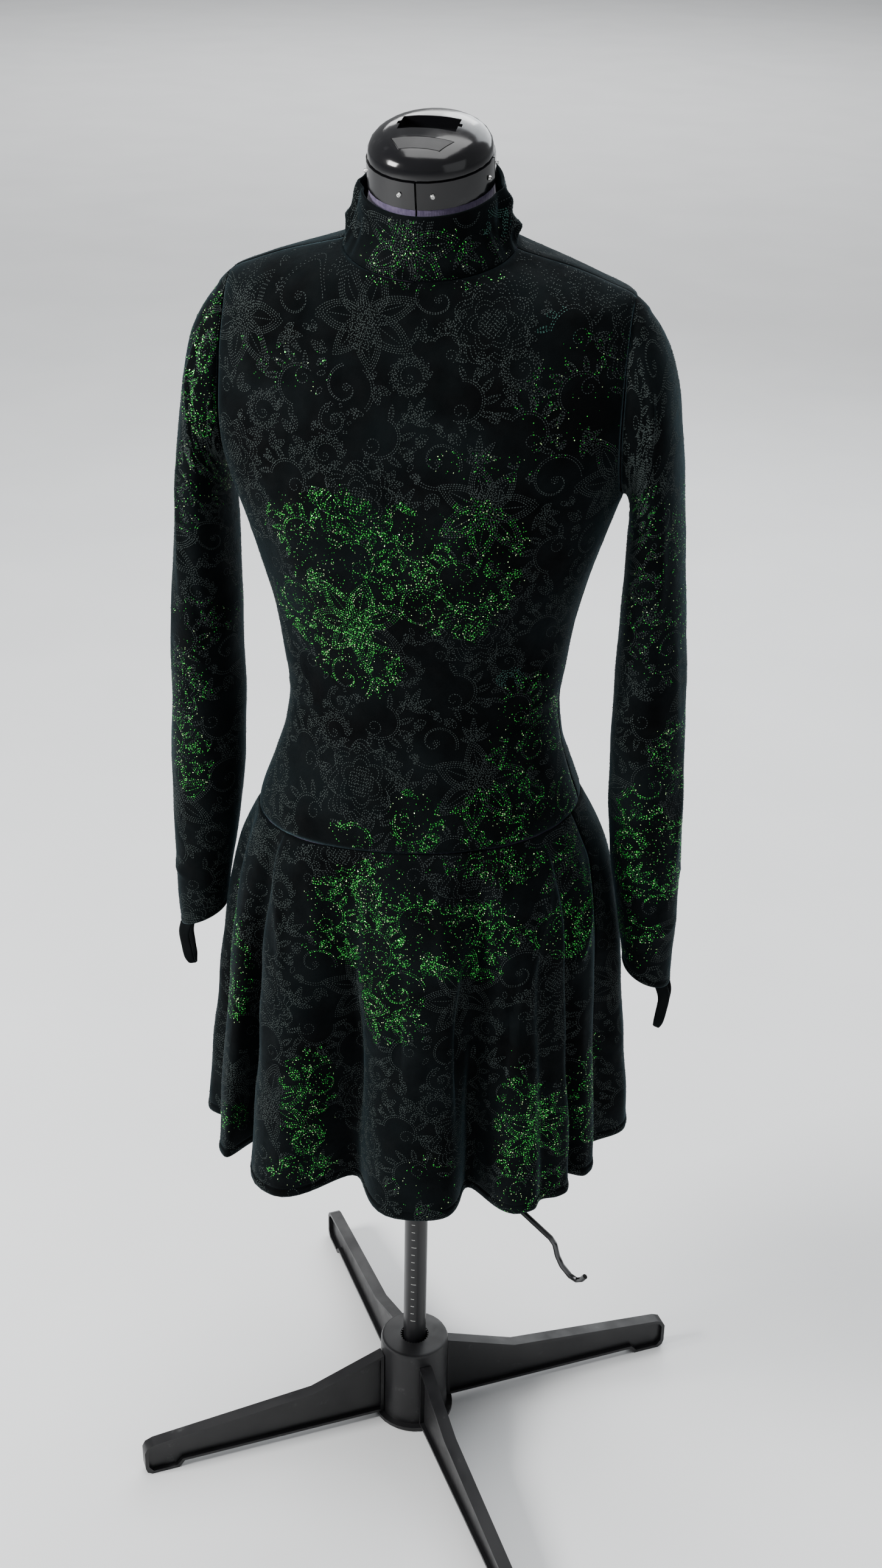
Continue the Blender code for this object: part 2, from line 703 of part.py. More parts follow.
def skirt_point(column, height):
    """A point on the skirt's outer face, down one of the fold line's columns."""
    hem_angle, inset, seam_angle = column
    fall = (DROP_SEAM - height) / (DROP_SEAM - HEM)
    angle = seam_angle + (hem_angle - seam_angle) * max(fall, 0.0)
    row = SKIRT_TABLE.at(height)
    x, y = oval(row, angle, row.squareness)
    scale = 1 - inset * max(fall, 0.0) ** FOLD_GROWTH / np.hypot(x, y)
    near_seam = max(1 - (DROP_SEAM - height) / SEAM_EASE, 0.0)
    seam = seam_point(angle)
    top = SKIRT_TABLE.at(DROP_SEAM)
    across, deep = np.array(oval(top, angle, top.squareness))
    x = x * scale + near_seam * (seam[0] - across)
    y = y * scale + near_seam * (seam[1] - deep)
    return np.array((x, y, height + HIKE * x))


def make_skirt(collection):
    """Front and back halves of the flared skirt, joined at the sides."""
    line = fold_line()
    outer = np.array([[skirt_point(column, h) for column in line] for h in SKIRT_STEPS])
    out = grid_normals(outer, closed=True)
    if out[0, 0] @ outer[0, 0] < 0:
        out = -out
    out[0] = out[1]
    out[0, :, 2] = 0.0
    out[0] /= np.linalg.norm(out[0], axis=1, keepdims=True)
    inner = outer - out * CLOTH
    valley = 2 * FOLD_SAMPLES
    right = 3 * FOLD_SAMPLES * (FRONT_SKIRT_FOLDS - 1) + valley
    left = 3 * FOLD_SAMPLES * (len(FOLDS) - 1) + valley
    count = len(line)
    front = [k % count for k in range(left - count, right + 1)]
    back = list(range(right, left + 1))
    for name, columns in (("skirt_front", front), ("skirt_back", back)):
        edges = [drawn_in(grid[:, columns], SEAM_GAP / 2) for grid in (outer, inner)]
        add_piece(collection, name, wall_mesh(name, *edges), "velvet")


def form_grid(offset, heights):
    """Rings of the form's skin, whose arm ends are flat plates."""
    shares = np.linspace(-1, 1, 2 * SIDE_COLUMNS + 1)[:-1]
    grid = []
    for height in heights:
        reach = armhole_angle(height)
        line = []
        for centre in (0.0, pi):
            for share in shares:
                if share > -1:
                    angle = centre + share * reach
                    line.append(body_point(angle, height) + offset * body_normal(angle, height))
                    continue
                angle = centre - pi / 2
                edge = body_point(angle, height)
                out = body_normal(angle, height)
                if UNDERARM < height < SHOULDER:
                    edge[0] = np.sign(edge[0]) * ARMHOLE_X
                    out = np.array((np.sign(edge[0]), 0.0, 0.0))
                line.append(edge + offset * out)
        grid.append(line)
    return np.array(grid)


def make_form_panels(collection):
    """The hollow torso's four panels, open at the bottom and at the top of the neck."""
    heights = [FORM_BOTTOM, 0.705, 0.735] + bodice_heights() + [1.275, 1.290, NECK_TOP]
    outer = form_grid(0.0, heights)
    inner = form_grid(-FORM_WALL, heights)
    inner[0, :, 2] = outer[0, :, 2]
    inner[-1, :, 2] = NECK_TOP + BODY[-1].front_tilt * inner[-1, :, 1]
    count = outer.shape[1]
    for quarter, place in enumerate(("front_right", "front_left", "back_left", "back_right")):
        columns = [(SIDE_COLUMNS * quarter + k) % count for k in range(SIDE_COLUMNS + 1)]
        edges = [drawn_in(grid[:, columns], BAND_SPLIT / 2) for grid in (outer, inner)]
        name = f"form_{place}"
        add_piece(collection, name, wall_mesh(name, *edges), "form_jersey")


def neck_frame():
    """An empty at the top of the form's neck, tipped forward as the neck is."""
    frame = bpy.data.objects.new("neck_frame", None)
    frame.location = (0.0, 0.0, NECK_TOP)
    frame.rotation_euler = (NECK_TILT, 0.0, 0.0)
    bpy.context.scene.collection.objects.link(frame)
    return frame


def dome_height(scale):
    """How high the cap's dome stands at a share of the way out to its rim."""
    return DOME_RISE * (1 - min(scale, 1.0) ** DOME_POWER) ** (1 / DOME_POWER)


def dome_patch(corners, rows, columns, lift):
    """A four-sided patch of the dome between corners in its plan, lifted from its surface."""
    near_left, near_right, far_left, far_right = [np.array(corner) for corner in corners]
    grid = []
    for v in np.linspace(0, 1, rows):
        line = []
        for u in np.linspace(0, 1, columns):
            low = near_left + u * (near_right - near_left)
            high = far_left + u * (far_right - far_left)
            x, y = low + v * (high - low)
            scale = np.hypot(x / NECK_HALF_WIDTH, y / NECK_HALF_DEPTH)
            line.append((x, y, BAND_HEIGHT + 2 * FIT + dome_height(scale) + lift))
        grid.append(line)
    return np.array(grid)


def cap_profile():
    """(share of the neck's width, height) down the cap: dome, rim, plug, then its hollow."""
    rim = BAND_HEIGHT + 2 * FIT
    steps = [sin(k * pi / 2 / 9) for k in range(10)]
    dome = [(0.978 * step, rim + 0.0015 + dome_height(step)) for step in steps]
    plug = [
        (0.965, rim),
        (0.890, rim - 0.0002),
        (0.890, FIT + 0.0002),
        (0.865, FIT),
        (0.865, -0.012),
    ]
    hollow = [(0.78, -0.012), (0.76, 0.018), (0.66, 0.026), (0.40, 0.0315), (0.0, 0.033)]
    return [(share * NECK_HALF_WIDTH, height) for share, height in dome + plug + hollow]


def make_neck_cap(collection, cutters, frame):
    """The glossy cap with its slot and its recess, and the panel set in the recess."""
    cap = turned(collection, "neck_cap", cap_profile(), "cap_gloss", frame, NECK_SIDES)
    cap.scale.y = NECK_HALF_DEPTH / NECK_HALF_WIDTH
    trapezoid = ((-0.0165, -0.0395), (0.0165, -0.0395), (-0.0255, -0.0255), (0.0255, -0.0255))
    slot = box_mesh("slot", (-0.0235, -0.0125, 0.0385), (0.0235, 0.0115, 0.080))
    ears = box_mesh("slot_ears", (-0.0262, -0.0030, 0.0400), (0.0262, 0.0025, 0.080))
    low = dome_patch(trapezoid, 4, 6, 0.0002)
    high = dome_patch(trapezoid, 4, 6, 0.0100)
    recess = wall_mesh("recess", high, low)
    tools = [add_piece(cutters, m.name, m, "cap_matte", frame) for m in (slot, ears, recess)]
    for tool in tools:
        tool.hide_render = True
        tool.display_type = "WIRE"
    carved = combined(cap, tools, "DIFFERENCE")
    carved.name = "neck_cap_carved"
    cap.data = carved
    gap = FIT + 0.0001
    inset = (
        (-0.0165 + gap, -0.0395 + gap),
        (0.0165 - gap, -0.0395 + gap),
        (-0.0255 + 2 * gap, -0.0255 - gap),
        (0.0255 - 2 * gap, -0.0255 - gap),
    )
    panel = wall_mesh("cap_panel", dome_patch(inset, 4, 6, 0.0013), dome_patch(inset, 4, 6, 0.0006))
    add_piece(collection, "cap_panel", panel, "cap_matte", frame)


def band_point(angle, inward, height):
    """A point on the neck band, in from its outer face."""
    return (
        (NECK_HALF_WIDTH - inward) * sin(angle),
        -(NECK_HALF_DEPTH - inward) * cos(angle),
        height,
    )


def make_neck_bands(collection, frame):
    """Four curved plates round the neck, with a split between each two."""
    share = asin(BAND_SPLIT / 2 / NECK_HALF_WIDTH)
    for quarter in range(4):
        turns = np.linspace(quarter * pi / 2 + share, (quarter + 1) * pi / 2 - share, 9)
        levels = (FIT, BAND_HEIGHT)
        outer = np.array([[band_point(a, 0.0, z) for a in turns] for z in levels])
        inner = np.array([[band_point(a, BAND_THICK, z) for a in turns] for z in levels])
        name = f"neck_band_{quarter + 1}"
        add_piece(collection, name, wall_mesh(name, outer, inner), "cap_gloss", frame)


def screw_head(shape):
    """A small domed head, lying flat."""
    bmesh.ops.create_cone(
        shape,
        cap_ends=True,
        segments=10,
        radius1=SCREW_RADIUS,
        radius2=0.7 * SCREW_RADIUS,
        depth=0.0014,
    )


def make_band_screws(collection, frame):
    """Two screw heads beside each split in the band."""

    number = 0
    for quarter in range(4):
        for side in (-1, 1):
            number += 1
            angle = quarter * pi / 2 + side * SCREW_OFFSET / NECK_HALF_DEPTH
            place = Vector(band_point(angle, -0.0012, BAND_HEIGHT * 0.52))
            out = Vector((sin(angle) * NECK_HALF_DEPTH, -cos(angle) * NECK_HALF_WIDTH, 0.0))
            mesh = mesh_of(f"band_screw_{number}", screw_head)
            screw = add_piece(collection, mesh.name, mesh, "screw_steel", frame)
            screw.location = place
            screw.rotation_euler = out.to_track_quat("Z", "Y").to_euler()


def sleeve_profile(outer, low, high):
    """(radius, height) round a plain ring that runs on the pole."""
    bore = POLE_RADIUS + RUNNING
    return [(bore, high), (outer, high), (outer, low), (bore, low)]


def make_carrier(collection, cutters):
    """What holds the form: a tube over the pole with a neck plate and four arms to the shell."""
    tube = sleeve_profile(CARRIER_RADIUS, CARRIER_FOOT, CARRIER_HEAD)
    carrier = turned(collection, "form_carrier", tube, "form_plastic")
    low, high = ARM_HEIGHT - 0.002, ARM_HEIGHT + 0.002
    start = CARRIER_RADIUS - 0.0015
    sides = [body_point(turn, ARM_HEIGHT) for turn in (0.0, pi / 2, pi)]
    clear = FORM_WALL + 0.0012
    front, side, back = -sides[0][1] - clear, sides[1][0] - clear, sides[2][1] - clear
    half = 0.007
    arms = [
        box_mesh("arm_right", (start, -half, low), (side, half, high)),
        box_mesh("arm_left", (-side, -half, low), (-start, half, high)),
        box_mesh("arm_front", (-half, -front, low), (half, -start, high)),
        box_mesh("arm_back", (-half, start, low), (half, back, high)),
    ]
    tools = [add_piece(cutters, m.name, m, "form_plastic") for m in arms]
    tools.append(turned(cutters, "neck_plate", sleeve_profile(0.044, 1.271, 1.275), "form_plastic"))
    for tool in tools:
        tool.hide_render = True
        tool.display_type = "WIRE"
    joined = combined(carrier, tools, "UNION")
    joined.name = "form_carrier_joined"
    carrier.data = joined


def make_stand(collection, cutters):
    """The pole, the turned hub and the four moulded legs."""
    length = POLE_HEAD - POLE_FOOT
    bpy.ops.mesh.primitive_cylinder_add(
        vertices=28, radius=POLE_RADIUS, depth=length, location=(0.0, 0.0, POLE_FOOT + length / 2)
    )
    pole = bpy.context.active_object
    pole.name = "pole"
    for holder in list(pole.users_collection):
        holder.objects.unlink(pole)
    collection.objects.link(pole)
    pole.data.materials.append(finish("pole_black"))
    pole.data.shade_smooth()
    pole.data.set_sharp_from_angle(angle=radians(35))
    turned(collection, "base_hub", HUB_PROFILE, "base_plastic", sides=32)

    blank = add_piece(
        collection, "base_leg_1", plate_mesh("leg_plate", LEG_OUTLINE, LEG_WIDTH / 2), "base_plastic"
    )
    tools = []
    for side in (-1, 1):
        block = plate_mesh("leg_pocket", LEG_POCKET, 0.01)
        pocket = add_piece(cutters, f"leg_pocket_{side}", block, "base_plastic")
        pocket.location.y = side * (LEG_WEB / 2 + 0.01)
        pocket.hide_render = True
        pocket.display_type = "WIRE"
        tools.append(pocket)
    leg_mesh = combined(blank, tools, "DIFFERENCE")
    leg_mesh.name = "leg"
    blank.data = leg_mesh
    blank.rotation_euler.z = LEG_TURN
    for number in range(2, LEG_COUNT + 1):
        leg = bpy.data.objects.new(f"base_leg_{number}", leg_mesh)
        leg.rotation_euler.z = LEG_TURN + (number - 1) * 2 * pi / LEG_COUNT
        collection.objects.link(leg)


def make_clamp(collection):
    """The collar that grips the pole and carries the form."""
    low = CARRIER_FOOT - FIT - CLAMP_HEIGHT
    high = CARRIER_FOOT - FIT
    bore = POLE_RADIUS + RUNNING
    edge = 0.002
    profile = [
        (bore, high),
        (CLAMP_RADIUS - edge, high),
        (CLAMP_RADIUS, high - edge),
        (CLAMP_RADIUS, low + edge),
        (CLAMP_RADIUS - edge, low),
        (bore, low),
    ]
    turned(collection, "height_clamp", profile, "form_plastic", sides=24)


def make_gauge(collection):
    """The hem gauge: a stop ring, a turning ring and the bent wire it carries."""
    for name, (low, high) in (("gauge_stop", GAUGE_STOP), ("gauge_ring", GAUGE_RING)):
        ring = sleeve_profile(GAUGE_RADIUS, low, high)
        turned(collection, name, ring, "base_plastic", sides=24)
    curve = bpy.data.curves.new("gauge_wire", "CURVE")
    curve.dimensions = "3D"
    curve.bevel_depth = GAUGE_WIRE
    curve.bevel_resolution = 2
    curve.use_fill_caps = True
    spline = curve.splines.new("POLY")
    spline.points.add(len(GAUGE_PATH) - 1)
    for point, place in zip(spline.points, GAUGE_PATH):
        point.co = (place.reach, 0.0, place.height, 1.0)
    curve.materials.append(finish("gauge_steel"))
    wire = bpy.data.objects.new("gauge_wire", curve)
    wire.rotation_euler.z = GAUGE_TURN
    collection.objects.link(wire)


def main():
    clear_scene()
    parts = make_collection("velvet_dress_on_form")
    cutters = make_collection("cutters", hidden=True)
    sheets = make_bodice(parts)
    make_collar(parts, sheets)
    make_sleeves(parts, sheets)
    make_finger_loops(parts)
    make_skirt(parts)
    make_form_panels(parts)
    frame = neck_frame()
    make_neck_cap(parts, cutters, frame)
    make_neck_bands(parts, frame)
    make_band_screws(parts, frame)
    make_carrier(parts, cutters)
    make_clamp(parts)
    make_stand(parts, cutters)
    make_gauge(parts)


main()
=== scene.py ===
"""Looks of a velvet skater dress on a limbless dress form with a four-legged stand.

Metres, +Z up, origin on the floor under the pole, the dress's front facing -Y. The cloth is
made here as fine sheets over the same body, sleeve and fold tables as the solids, with soft
creases, rolled seams and a dotted scroll print whose dots turn to glitter in patches. The
hard parts keep their solids and get their finishes and small fittings here.
"""

import json
import logging
from collections.abc import Iterable, Sequence
from dataclasses import dataclass, field
from enum import Enum
from math import cos, exp, pi, radians, sin
from types import SimpleNamespace
from typing import NamedTuple

import bmesh
import bpy
import numpy as np
from mathutils import Matrix, Vector


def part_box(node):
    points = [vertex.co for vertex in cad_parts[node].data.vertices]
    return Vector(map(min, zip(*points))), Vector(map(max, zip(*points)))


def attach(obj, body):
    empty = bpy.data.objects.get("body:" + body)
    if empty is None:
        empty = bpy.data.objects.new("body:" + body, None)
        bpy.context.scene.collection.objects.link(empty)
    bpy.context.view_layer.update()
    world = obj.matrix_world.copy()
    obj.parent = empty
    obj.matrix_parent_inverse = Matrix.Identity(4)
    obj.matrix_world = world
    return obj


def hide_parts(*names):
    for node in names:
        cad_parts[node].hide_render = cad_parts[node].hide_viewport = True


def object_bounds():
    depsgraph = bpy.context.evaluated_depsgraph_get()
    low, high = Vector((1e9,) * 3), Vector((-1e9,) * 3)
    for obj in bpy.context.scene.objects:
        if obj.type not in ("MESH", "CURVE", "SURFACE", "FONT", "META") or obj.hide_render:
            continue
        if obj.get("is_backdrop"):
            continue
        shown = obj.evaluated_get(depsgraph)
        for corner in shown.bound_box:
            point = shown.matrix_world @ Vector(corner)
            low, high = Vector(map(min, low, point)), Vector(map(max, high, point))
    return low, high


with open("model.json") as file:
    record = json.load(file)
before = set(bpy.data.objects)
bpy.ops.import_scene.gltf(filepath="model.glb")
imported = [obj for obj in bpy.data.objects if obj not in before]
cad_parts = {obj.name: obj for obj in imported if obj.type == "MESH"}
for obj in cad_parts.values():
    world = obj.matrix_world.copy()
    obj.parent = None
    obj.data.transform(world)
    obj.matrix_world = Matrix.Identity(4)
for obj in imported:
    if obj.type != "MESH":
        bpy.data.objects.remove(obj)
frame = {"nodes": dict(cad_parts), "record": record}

LOG = logging.getLogger("velvet_dress")
MM = 0.001
TINY = 1e-12

Vec3 = tuple[float, float, float]


class Slot(Enum):
    """The record's material slots."""

    VELVET = "velvet"
    VELVET_EDGE = "velvet_edge"
    JERSEY = "form_jersey"
    FORM_PLASTIC = "form_plastic"
    CAP_GLOSS = "cap_gloss"
    CAP_MATTE = "cap_matte"
    SCREW = "screw_steel"
    POLE = "pole_black"
    BASE = "base_plastic"
    GAUGE = "gauge_steel"


class Body(Enum):
    """The bodies that pieces ride on."""

    STAND = "stand"
    FORM = "form"


# ---- Tables of sizes, the same as the solids have ----


def rows_of(kind: type, *rows: tuple) -> tuple:
    """A table whose rows are all of one kind."""
    return tuple(kind(*row) for row in rows)


class BodyRow(NamedTuple):
    """An oval at one height, whose front and back halves are tilted on their own."""

    height: float
    front_tilt: float
    back_tilt: float
    half_width: float
    front: float
    back: float
    squareness: float


class Bust(NamedTuple):
    """The two mounds on the front: place, reach and rise."""

    x: float
    height: float
    radius: float
    rise: float


class CollarRow(NamedTuple):
    """An oval up the standing collar."""

    height: float
    front_tilt: float
    back_tilt: float
    half_width: float
    front: float
    back: float


class SleeveRow(NamedTuple):
    """A ring of the sleeve between its top line and its under line."""

    top_x: float
    top_z: float
    under_x: float
    under_z: float
    half_depth: float
    armhole_share: float


class SkirtRow(NamedTuple):
    """The skirt's widest outline at one height."""

    height: float
    half_width: float
    front: float
    back: float
    squareness: float


class FoldRow(NamedTuple):
    """A crest, then the valley after it: degrees round from the front, insets in millimetres."""

    crest_from: float
    crest_to: float
    crest_inset: float
    valley: float
    valley_inset: float


class LoopRow(NamedTuple):
    """A cross line of the finger loop's strap."""

    y: float
    z: float
    x: float
    half_width: float


BODY_ROWS = rows_of(
    BodyRow,
    (0.668, 0.00, 0.00, 0.1560, 0.1120, 0.1200, 2.2),
    (0.705, 0.00, 0.00, 0.1555, 0.1160, 0.1230, 2.2),
    (0.757, 0.00, 0.00, 0.1480, 0.1154, 0.1190, 2.2),
    (0.800, 0.00, 0.00, 0.1335, 0.1060, 0.1070, 2.2),
    (0.835, 0.00, 0.00, 0.1235, 0.0940, 0.0920, 2.1),
    (0.868, 0.00, 0.00, 0.1200, 0.0870, 0.0820, 2.1),
    (0.905, 0.00, 0.00, 0.1245, 0.0870, 0.0800, 2.1),
    (0.945, 0.00, 0.00, 0.1305, 0.0930, 0.0840, 2.1),
    (0.985, 0.00, 0.00, 0.1400, 0.1010, 0.0890, 2.2),
    (1.030, 0.00, 0.00, 0.1535, 0.1050, 0.0940, 2.3),
    (1.072, 0.02, 0.00, 0.1680, 0.1045, 0.0970, 2.4),
    (1.105, 0.05, 0.00, 0.1780, 0.1005, 0.0985, 2.4),
    (1.140, 0.08, 0.00, 0.1835, 0.0930, 0.0970, 2.4),
    (1.178, 0.12, 0.00, 0.1830, 0.0820, 0.0900, 2.4),
    (1.208, 0.17, 0.00, 0.1765, 0.0720, 0.0800, 2.3),
    (1.232, 0.20, 0.01, 0.1680, 0.0640, 0.0700, 2.2),
    (1.243, 0.24, 0.03, 0.1430, 0.0615, 0.0670, 2.1),
    (1.252, 0.27, 0.07, 0.1160, 0.0605, 0.0650, 2.0),
    (1.2585, 0.29, 0.12, 0.0900, 0.0595, 0.0635, 2.0),
    (1.264, 0.30, 0.17, 0.0700, 0.0580, 0.0610, 2.0),
    (1.275, 0.29, 0.21, 0.0590, 0.0565, 0.0580, 2.0),
    (1.290, 0.27, 0.24, 0.0530, 0.0555, 0.0555, 2.0),
    (1.3145, 0.24, 0.24, 0.0498, 0.0545, 0.0545, 2.0),
)

COLLAR_ROWS = rows_of(
    CollarRow,
    (1.2720, 0.300, 0.190, 0.0695, 0.0630, 0.0650),
    (1.2800, 0.295, 0.210, 0.0672, 0.0625, 0.0635),
    (1.2930, 0.290, 0.240, 0.0642, 0.0620, 0.0620),
    (1.3040, 0.285, 0.265, 0.0612, 0.0615, 0.0610),
    (1.3130, 0.280, 0.280, 0.0590, 0.0610, 0.0605),
)

SLEEVE_ROWS = rows_of(
    SleeveRow,
    (0.1785, 1.2230, 0.1740, 1.0700, 0.0520, 0.70),
    (0.1900, 1.2090, 0.1754, 1.0668, 0.0525, 0.40),
    (0.2005, 1.1890, 0.1762, 1.0620, 0.0525, 0.15),
    (0.2085, 1.1600, 0.1764, 1.0560, 0.0520, 0.00),
    (0.2138, 1.1260, 0.1762, 1.0480, 0.0515, 0.00),
    (0.2185, 1.0860, 0.1756, 1.0350, 0.0505, 0.00),
    (0.2230, 1.0420, 0.1746, 1.0120, 0.0490, 0.00),
    (0.2272, 0.9950, 0.1732, 0.9790, 0.0470, 0.00),
    (0.2312, 0.9420, 0.1716, 0.9360, 0.0450, 0.00),
    (0.2350, 0.8870, 0.1712, 0.8860, 0.0425, 0.00),
    (0.2378, 0.8300, 0.1708, 0.8300, 0.0400, 0.00),
    (0.2400, 0.7750, 0.1725, 0.7750, 0.0370, 0.00),
    (0.2418, 0.7150, 0.1790, 0.7150, 0.0335, 0.00),
    (0.2425, 0.6560, 0.1885, 0.6600, 0.0290, 0.00),
    (0.2405, 0.5920, 0.1955, 0.6120, 0.0245, 0.00),
)

SKIRT_ROWS = rows_of(
    SkirtRow,
    (0.7606, 0.1500, 0.1180, 0.1216, 2.2),
    (0.7430, 0.1600, 0.1245, 0.1280, 2.2),
    (0.7170, 0.1715, 0.1320, 0.1355, 2.1),
    (0.6650, 0.1840, 0.1400, 0.1450, 2.1),
    (0.5850, 0.1945, 0.1480, 0.1560, 2.0),
    (0.5260, 0.2000, 0.1530, 0.1630, 2.0),
    (0.4500, 0.2080, 0.1600, 0.1710, 2.0),
    (0.3880, 0.2130, 0.1650, 0.1780, 2.0),
)

FOLD_ROWS = rows_of(
    FoldRow,
    (-97, -87, -7, -76, 42),
    (-62, -57, 2, -66, 50),
    (-36, -31, 1, -18, 62),
    (4, 17, 8, 29, 52),
    (37, 41, -3, 46, 8),
    (50, 53, 4, 62, 28),
    (64, 67, 12, 82, 34),
    (94, 102, 4, 115, 40),
    (125, 131, 4, 141, 48),
    (151, 157, 2, 165, 42),
    (174, 181, 0, 190, 48),
    (199, 205, 3, 213, 40),
    (221, 227, 2, 236, 48),
    (242, 247, 5, 255, 30),
)

LOOP_ROWS = rows_of(
    LoopRow,
    (-0.0078, 0.5914, 0.2325, 0.0078),
    (-0.0072, 0.5780, 0.2365, 0.0056),
    (-0.0064, 0.5620, 0.2350, 0.0052),
    (-0.0056, 0.5490, 0.2338, 0.0052),
    (-0.0030, 0.5418, 0.2332, 0.0050),
    (0.0000, 0.5400, 0.2330, 0.0050),
    (0.0030, 0.5418, 0.2332, 0.0050),
    (0.0056, 0.5490, 0.2338, 0.0052),
    (0.0064, 0.5620, 0.2350, 0.0052),
    (0.0072, 0.5780, 0.2365, 0.0056),
    (0.0078, 0.5914, 0.2325, 0.0078),
)


# ---- Shape helpers ----


def hermite(
    t: np.ndarray | float, step: np.ndarray | float, ends: Sequence, slopes: Sequence
) -> np.ndarray:
    """A cubic between two values, with a slope at each.

    Args:
        t: Where it is read, as a share of the step.
        step: The length between the two ends.
        ends: The values at the ends.
        slopes: The slopes there.

    Returns:
        The value there.
    """
    left = 1 - t
    start = (1 + 2 * t) * left**2 * ends[0] + t * left**2 * step * slopes[0]
    end = t * t * (3 - 2 * t) * ends[1] - t * t * left * step * slopes[1]
    return start + end


class SmoothTable:
    """Rows with named columns, read at any value of the first column along a smooth curve."""

    def __init__(self, rows: Sequence[NamedTuple]) -> None:
        """Works out the curve's slopes.

        Args:
            rows: The table's rows, in rising order of their first column.
        """
        self.fields = rows[0]._fields
        self.columns = np.array(rows, float)
        self.keys = self.columns[:, 0]
        self.slopes = np.stack([self._slopes(column) for column in self.columns.T], axis=1)

    def _slopes(self, values: np.ndarray) -> np.ndarray:
        """The monotone cubic's slope at each row.

        Args:
            values: One column.

        Returns:
            A slope for each row.
        """
        steps = np.diff(self.keys)
        rise = np.diff(values) / steps
        out = np.zeros(len(values))
        out[0], out[-1] = rise[0], rise[-1]
        for i in range(1, len(values) - 1):
            before, after = rise[i - 1], rise[i]
            if before * after > 0:
                heavy = 2 * steps[i] + steps[i - 1]
                light = steps[i] + 2 * steps[i - 1]
                out[i] = (heavy + light) / (heavy / before + light / after)
        return out

    def at(self, where: np.ndarray | float) -> SimpleNamespace:
        """The columns at one or many places, each as an array of the places' shape.

        Args:
            where: Values of the first column.

        Returns:
            The columns by name.
        """
        where = np.clip(np.asarray(where, float), self.keys[0], self.keys[-1])
        last = len(self.keys) - 2
        i = np.clip(np.searchsorted(self.keys, where, side="right") - 1, 0, last)
        step = (self.keys[i + 1] - self.keys[i])[..., None]
        t = (where - self.keys[i])[..., None] / step
        ends, slopes = self.columns[[i, i + 1]], self.slopes[[i, i + 1]]
        values = hermite(t, step, ends, slopes)
        return SimpleNamespace(**{name: values[..., k] for k, name in enumerate(self.fields)})


def oval(row: SimpleNamespace, angle: np.ndarray, power: np.ndarray | float) -> tuple:
    """(x, y) on a row's oval, which has one depth in front and another behind.

    Args:
        row: Half width, front and back depths.
        angle: Angle round from the centre front towards +X.
        power: 2 for an ellipse, more for a squarer oval.

    Returns:
        Both coordinates.
    """
    s, c = np.sin(angle), np.cos(angle)
    reach = 2.0 / power
    depth = np.where(c > 0, row.front, row.back)
    x = row.half_width * np.sign(s) * np.abs(s) ** reach
    return x, -np.sign(c) * depth * np.abs(c) ** reach


def grid_normals(grid: np.ndarray, closed: bool) -> np.ndarray:
    """Unit directions across a grid's surface at each point.

    Args:
        grid: Points, rows by columns.
        closed: Whether the last column is beside the first.

    Returns:
        A direction for each point.
    """
    if closed:
        across = np.roll(grid, -1, axis=1) - np.roll(grid, 1, axis=1)
    else:
        across = np.gradient(grid, axis=1)
    out = np.cross(across, np.gradient(grid, axis=0))
    return out / np.maximum(np.linalg.norm(out, axis=2, keepdims=True), TINY)


def row_arcs(grid: np.ndarray) -> np.ndarray:
    """Each point's distance along its row from the middle column.

    Args:
        grid: Points, rows by columns.

    Returns:
        Lengths, below 0 to the left.
    """
    steps = np.linalg.norm(np.diff(grid, axis=1), axis=2)
    run = np.concatenate([np.zeros((len(grid), 1)), np.cumsum(steps, axis=1)], axis=1)
    return run - run[:, run.shape[1] // 2, None]


def run_along(line: np.ndarray) -> np.ndarray:
    """The distance along a line of points at each of them."""
    return np.concatenate([[0], np.cumsum(np.linalg.norm(np.diff(line, axis=0), axis=1))])


def through(rings: np.ndarray, steps: Sequence[int]) -> np.ndarray:
    """Rings on a smooth curve through the given ones.

    Args:
        rings: Control rings, each with the same number of points.
        steps: How many rings each gap between two control rings becomes.

    Returns:
        The finer rings, with the first and last control ring kept.
    """
    padded = np.concatenate([2 * rings[:1] - rings[1:2], rings, 2 * rings[-1:] - rings[-2:-1]])
    out = []
    for i, count in enumerate(steps):
        before, start, end, after = padded[i : i + 4]
        for t in np.arange(count) / count:
            out.append(
                0.5
                * (
                    2 * start
                    + (end - before) * t
                    + (2 * before - 5 * start + 4 * end - after) * t**2
                    + (3 * start - before - 3 * end + after) * t**3
                )
            )
    return np.array([*out, rings[-1]])


NOISE_WAVES = 7
NOISE_SPREAD = (0.7, 1.6)
NOISE_SCALE = 3.2


def soft_noise(seed: int, places: np.ndarray, wave: float) -> np.ndarray:
    """A smooth, repeatable unevenness of about -1 to 1.

    Args:
        seed: Chooses the pattern.
        places: Points, with their coordinates in the last axis.
        wave: The usual length of a wave, in metres.

    Returns:
        A value for each point.
    """
    rng = np.random.default_rng(seed)
    total = np.zeros(places.shape[:-1])
    for _ in range(NOISE_WAVES):
        direction = rng.normal(size=places.shape[-1])
        direction *= 2 * pi / (wave * rng.uniform(*NOISE_SPREAD)) / np.linalg.norm(direction)
        total += np.sin(places @ direction + rng.uniform(0, 2 * pi))
    return total / NOISE_SCALE


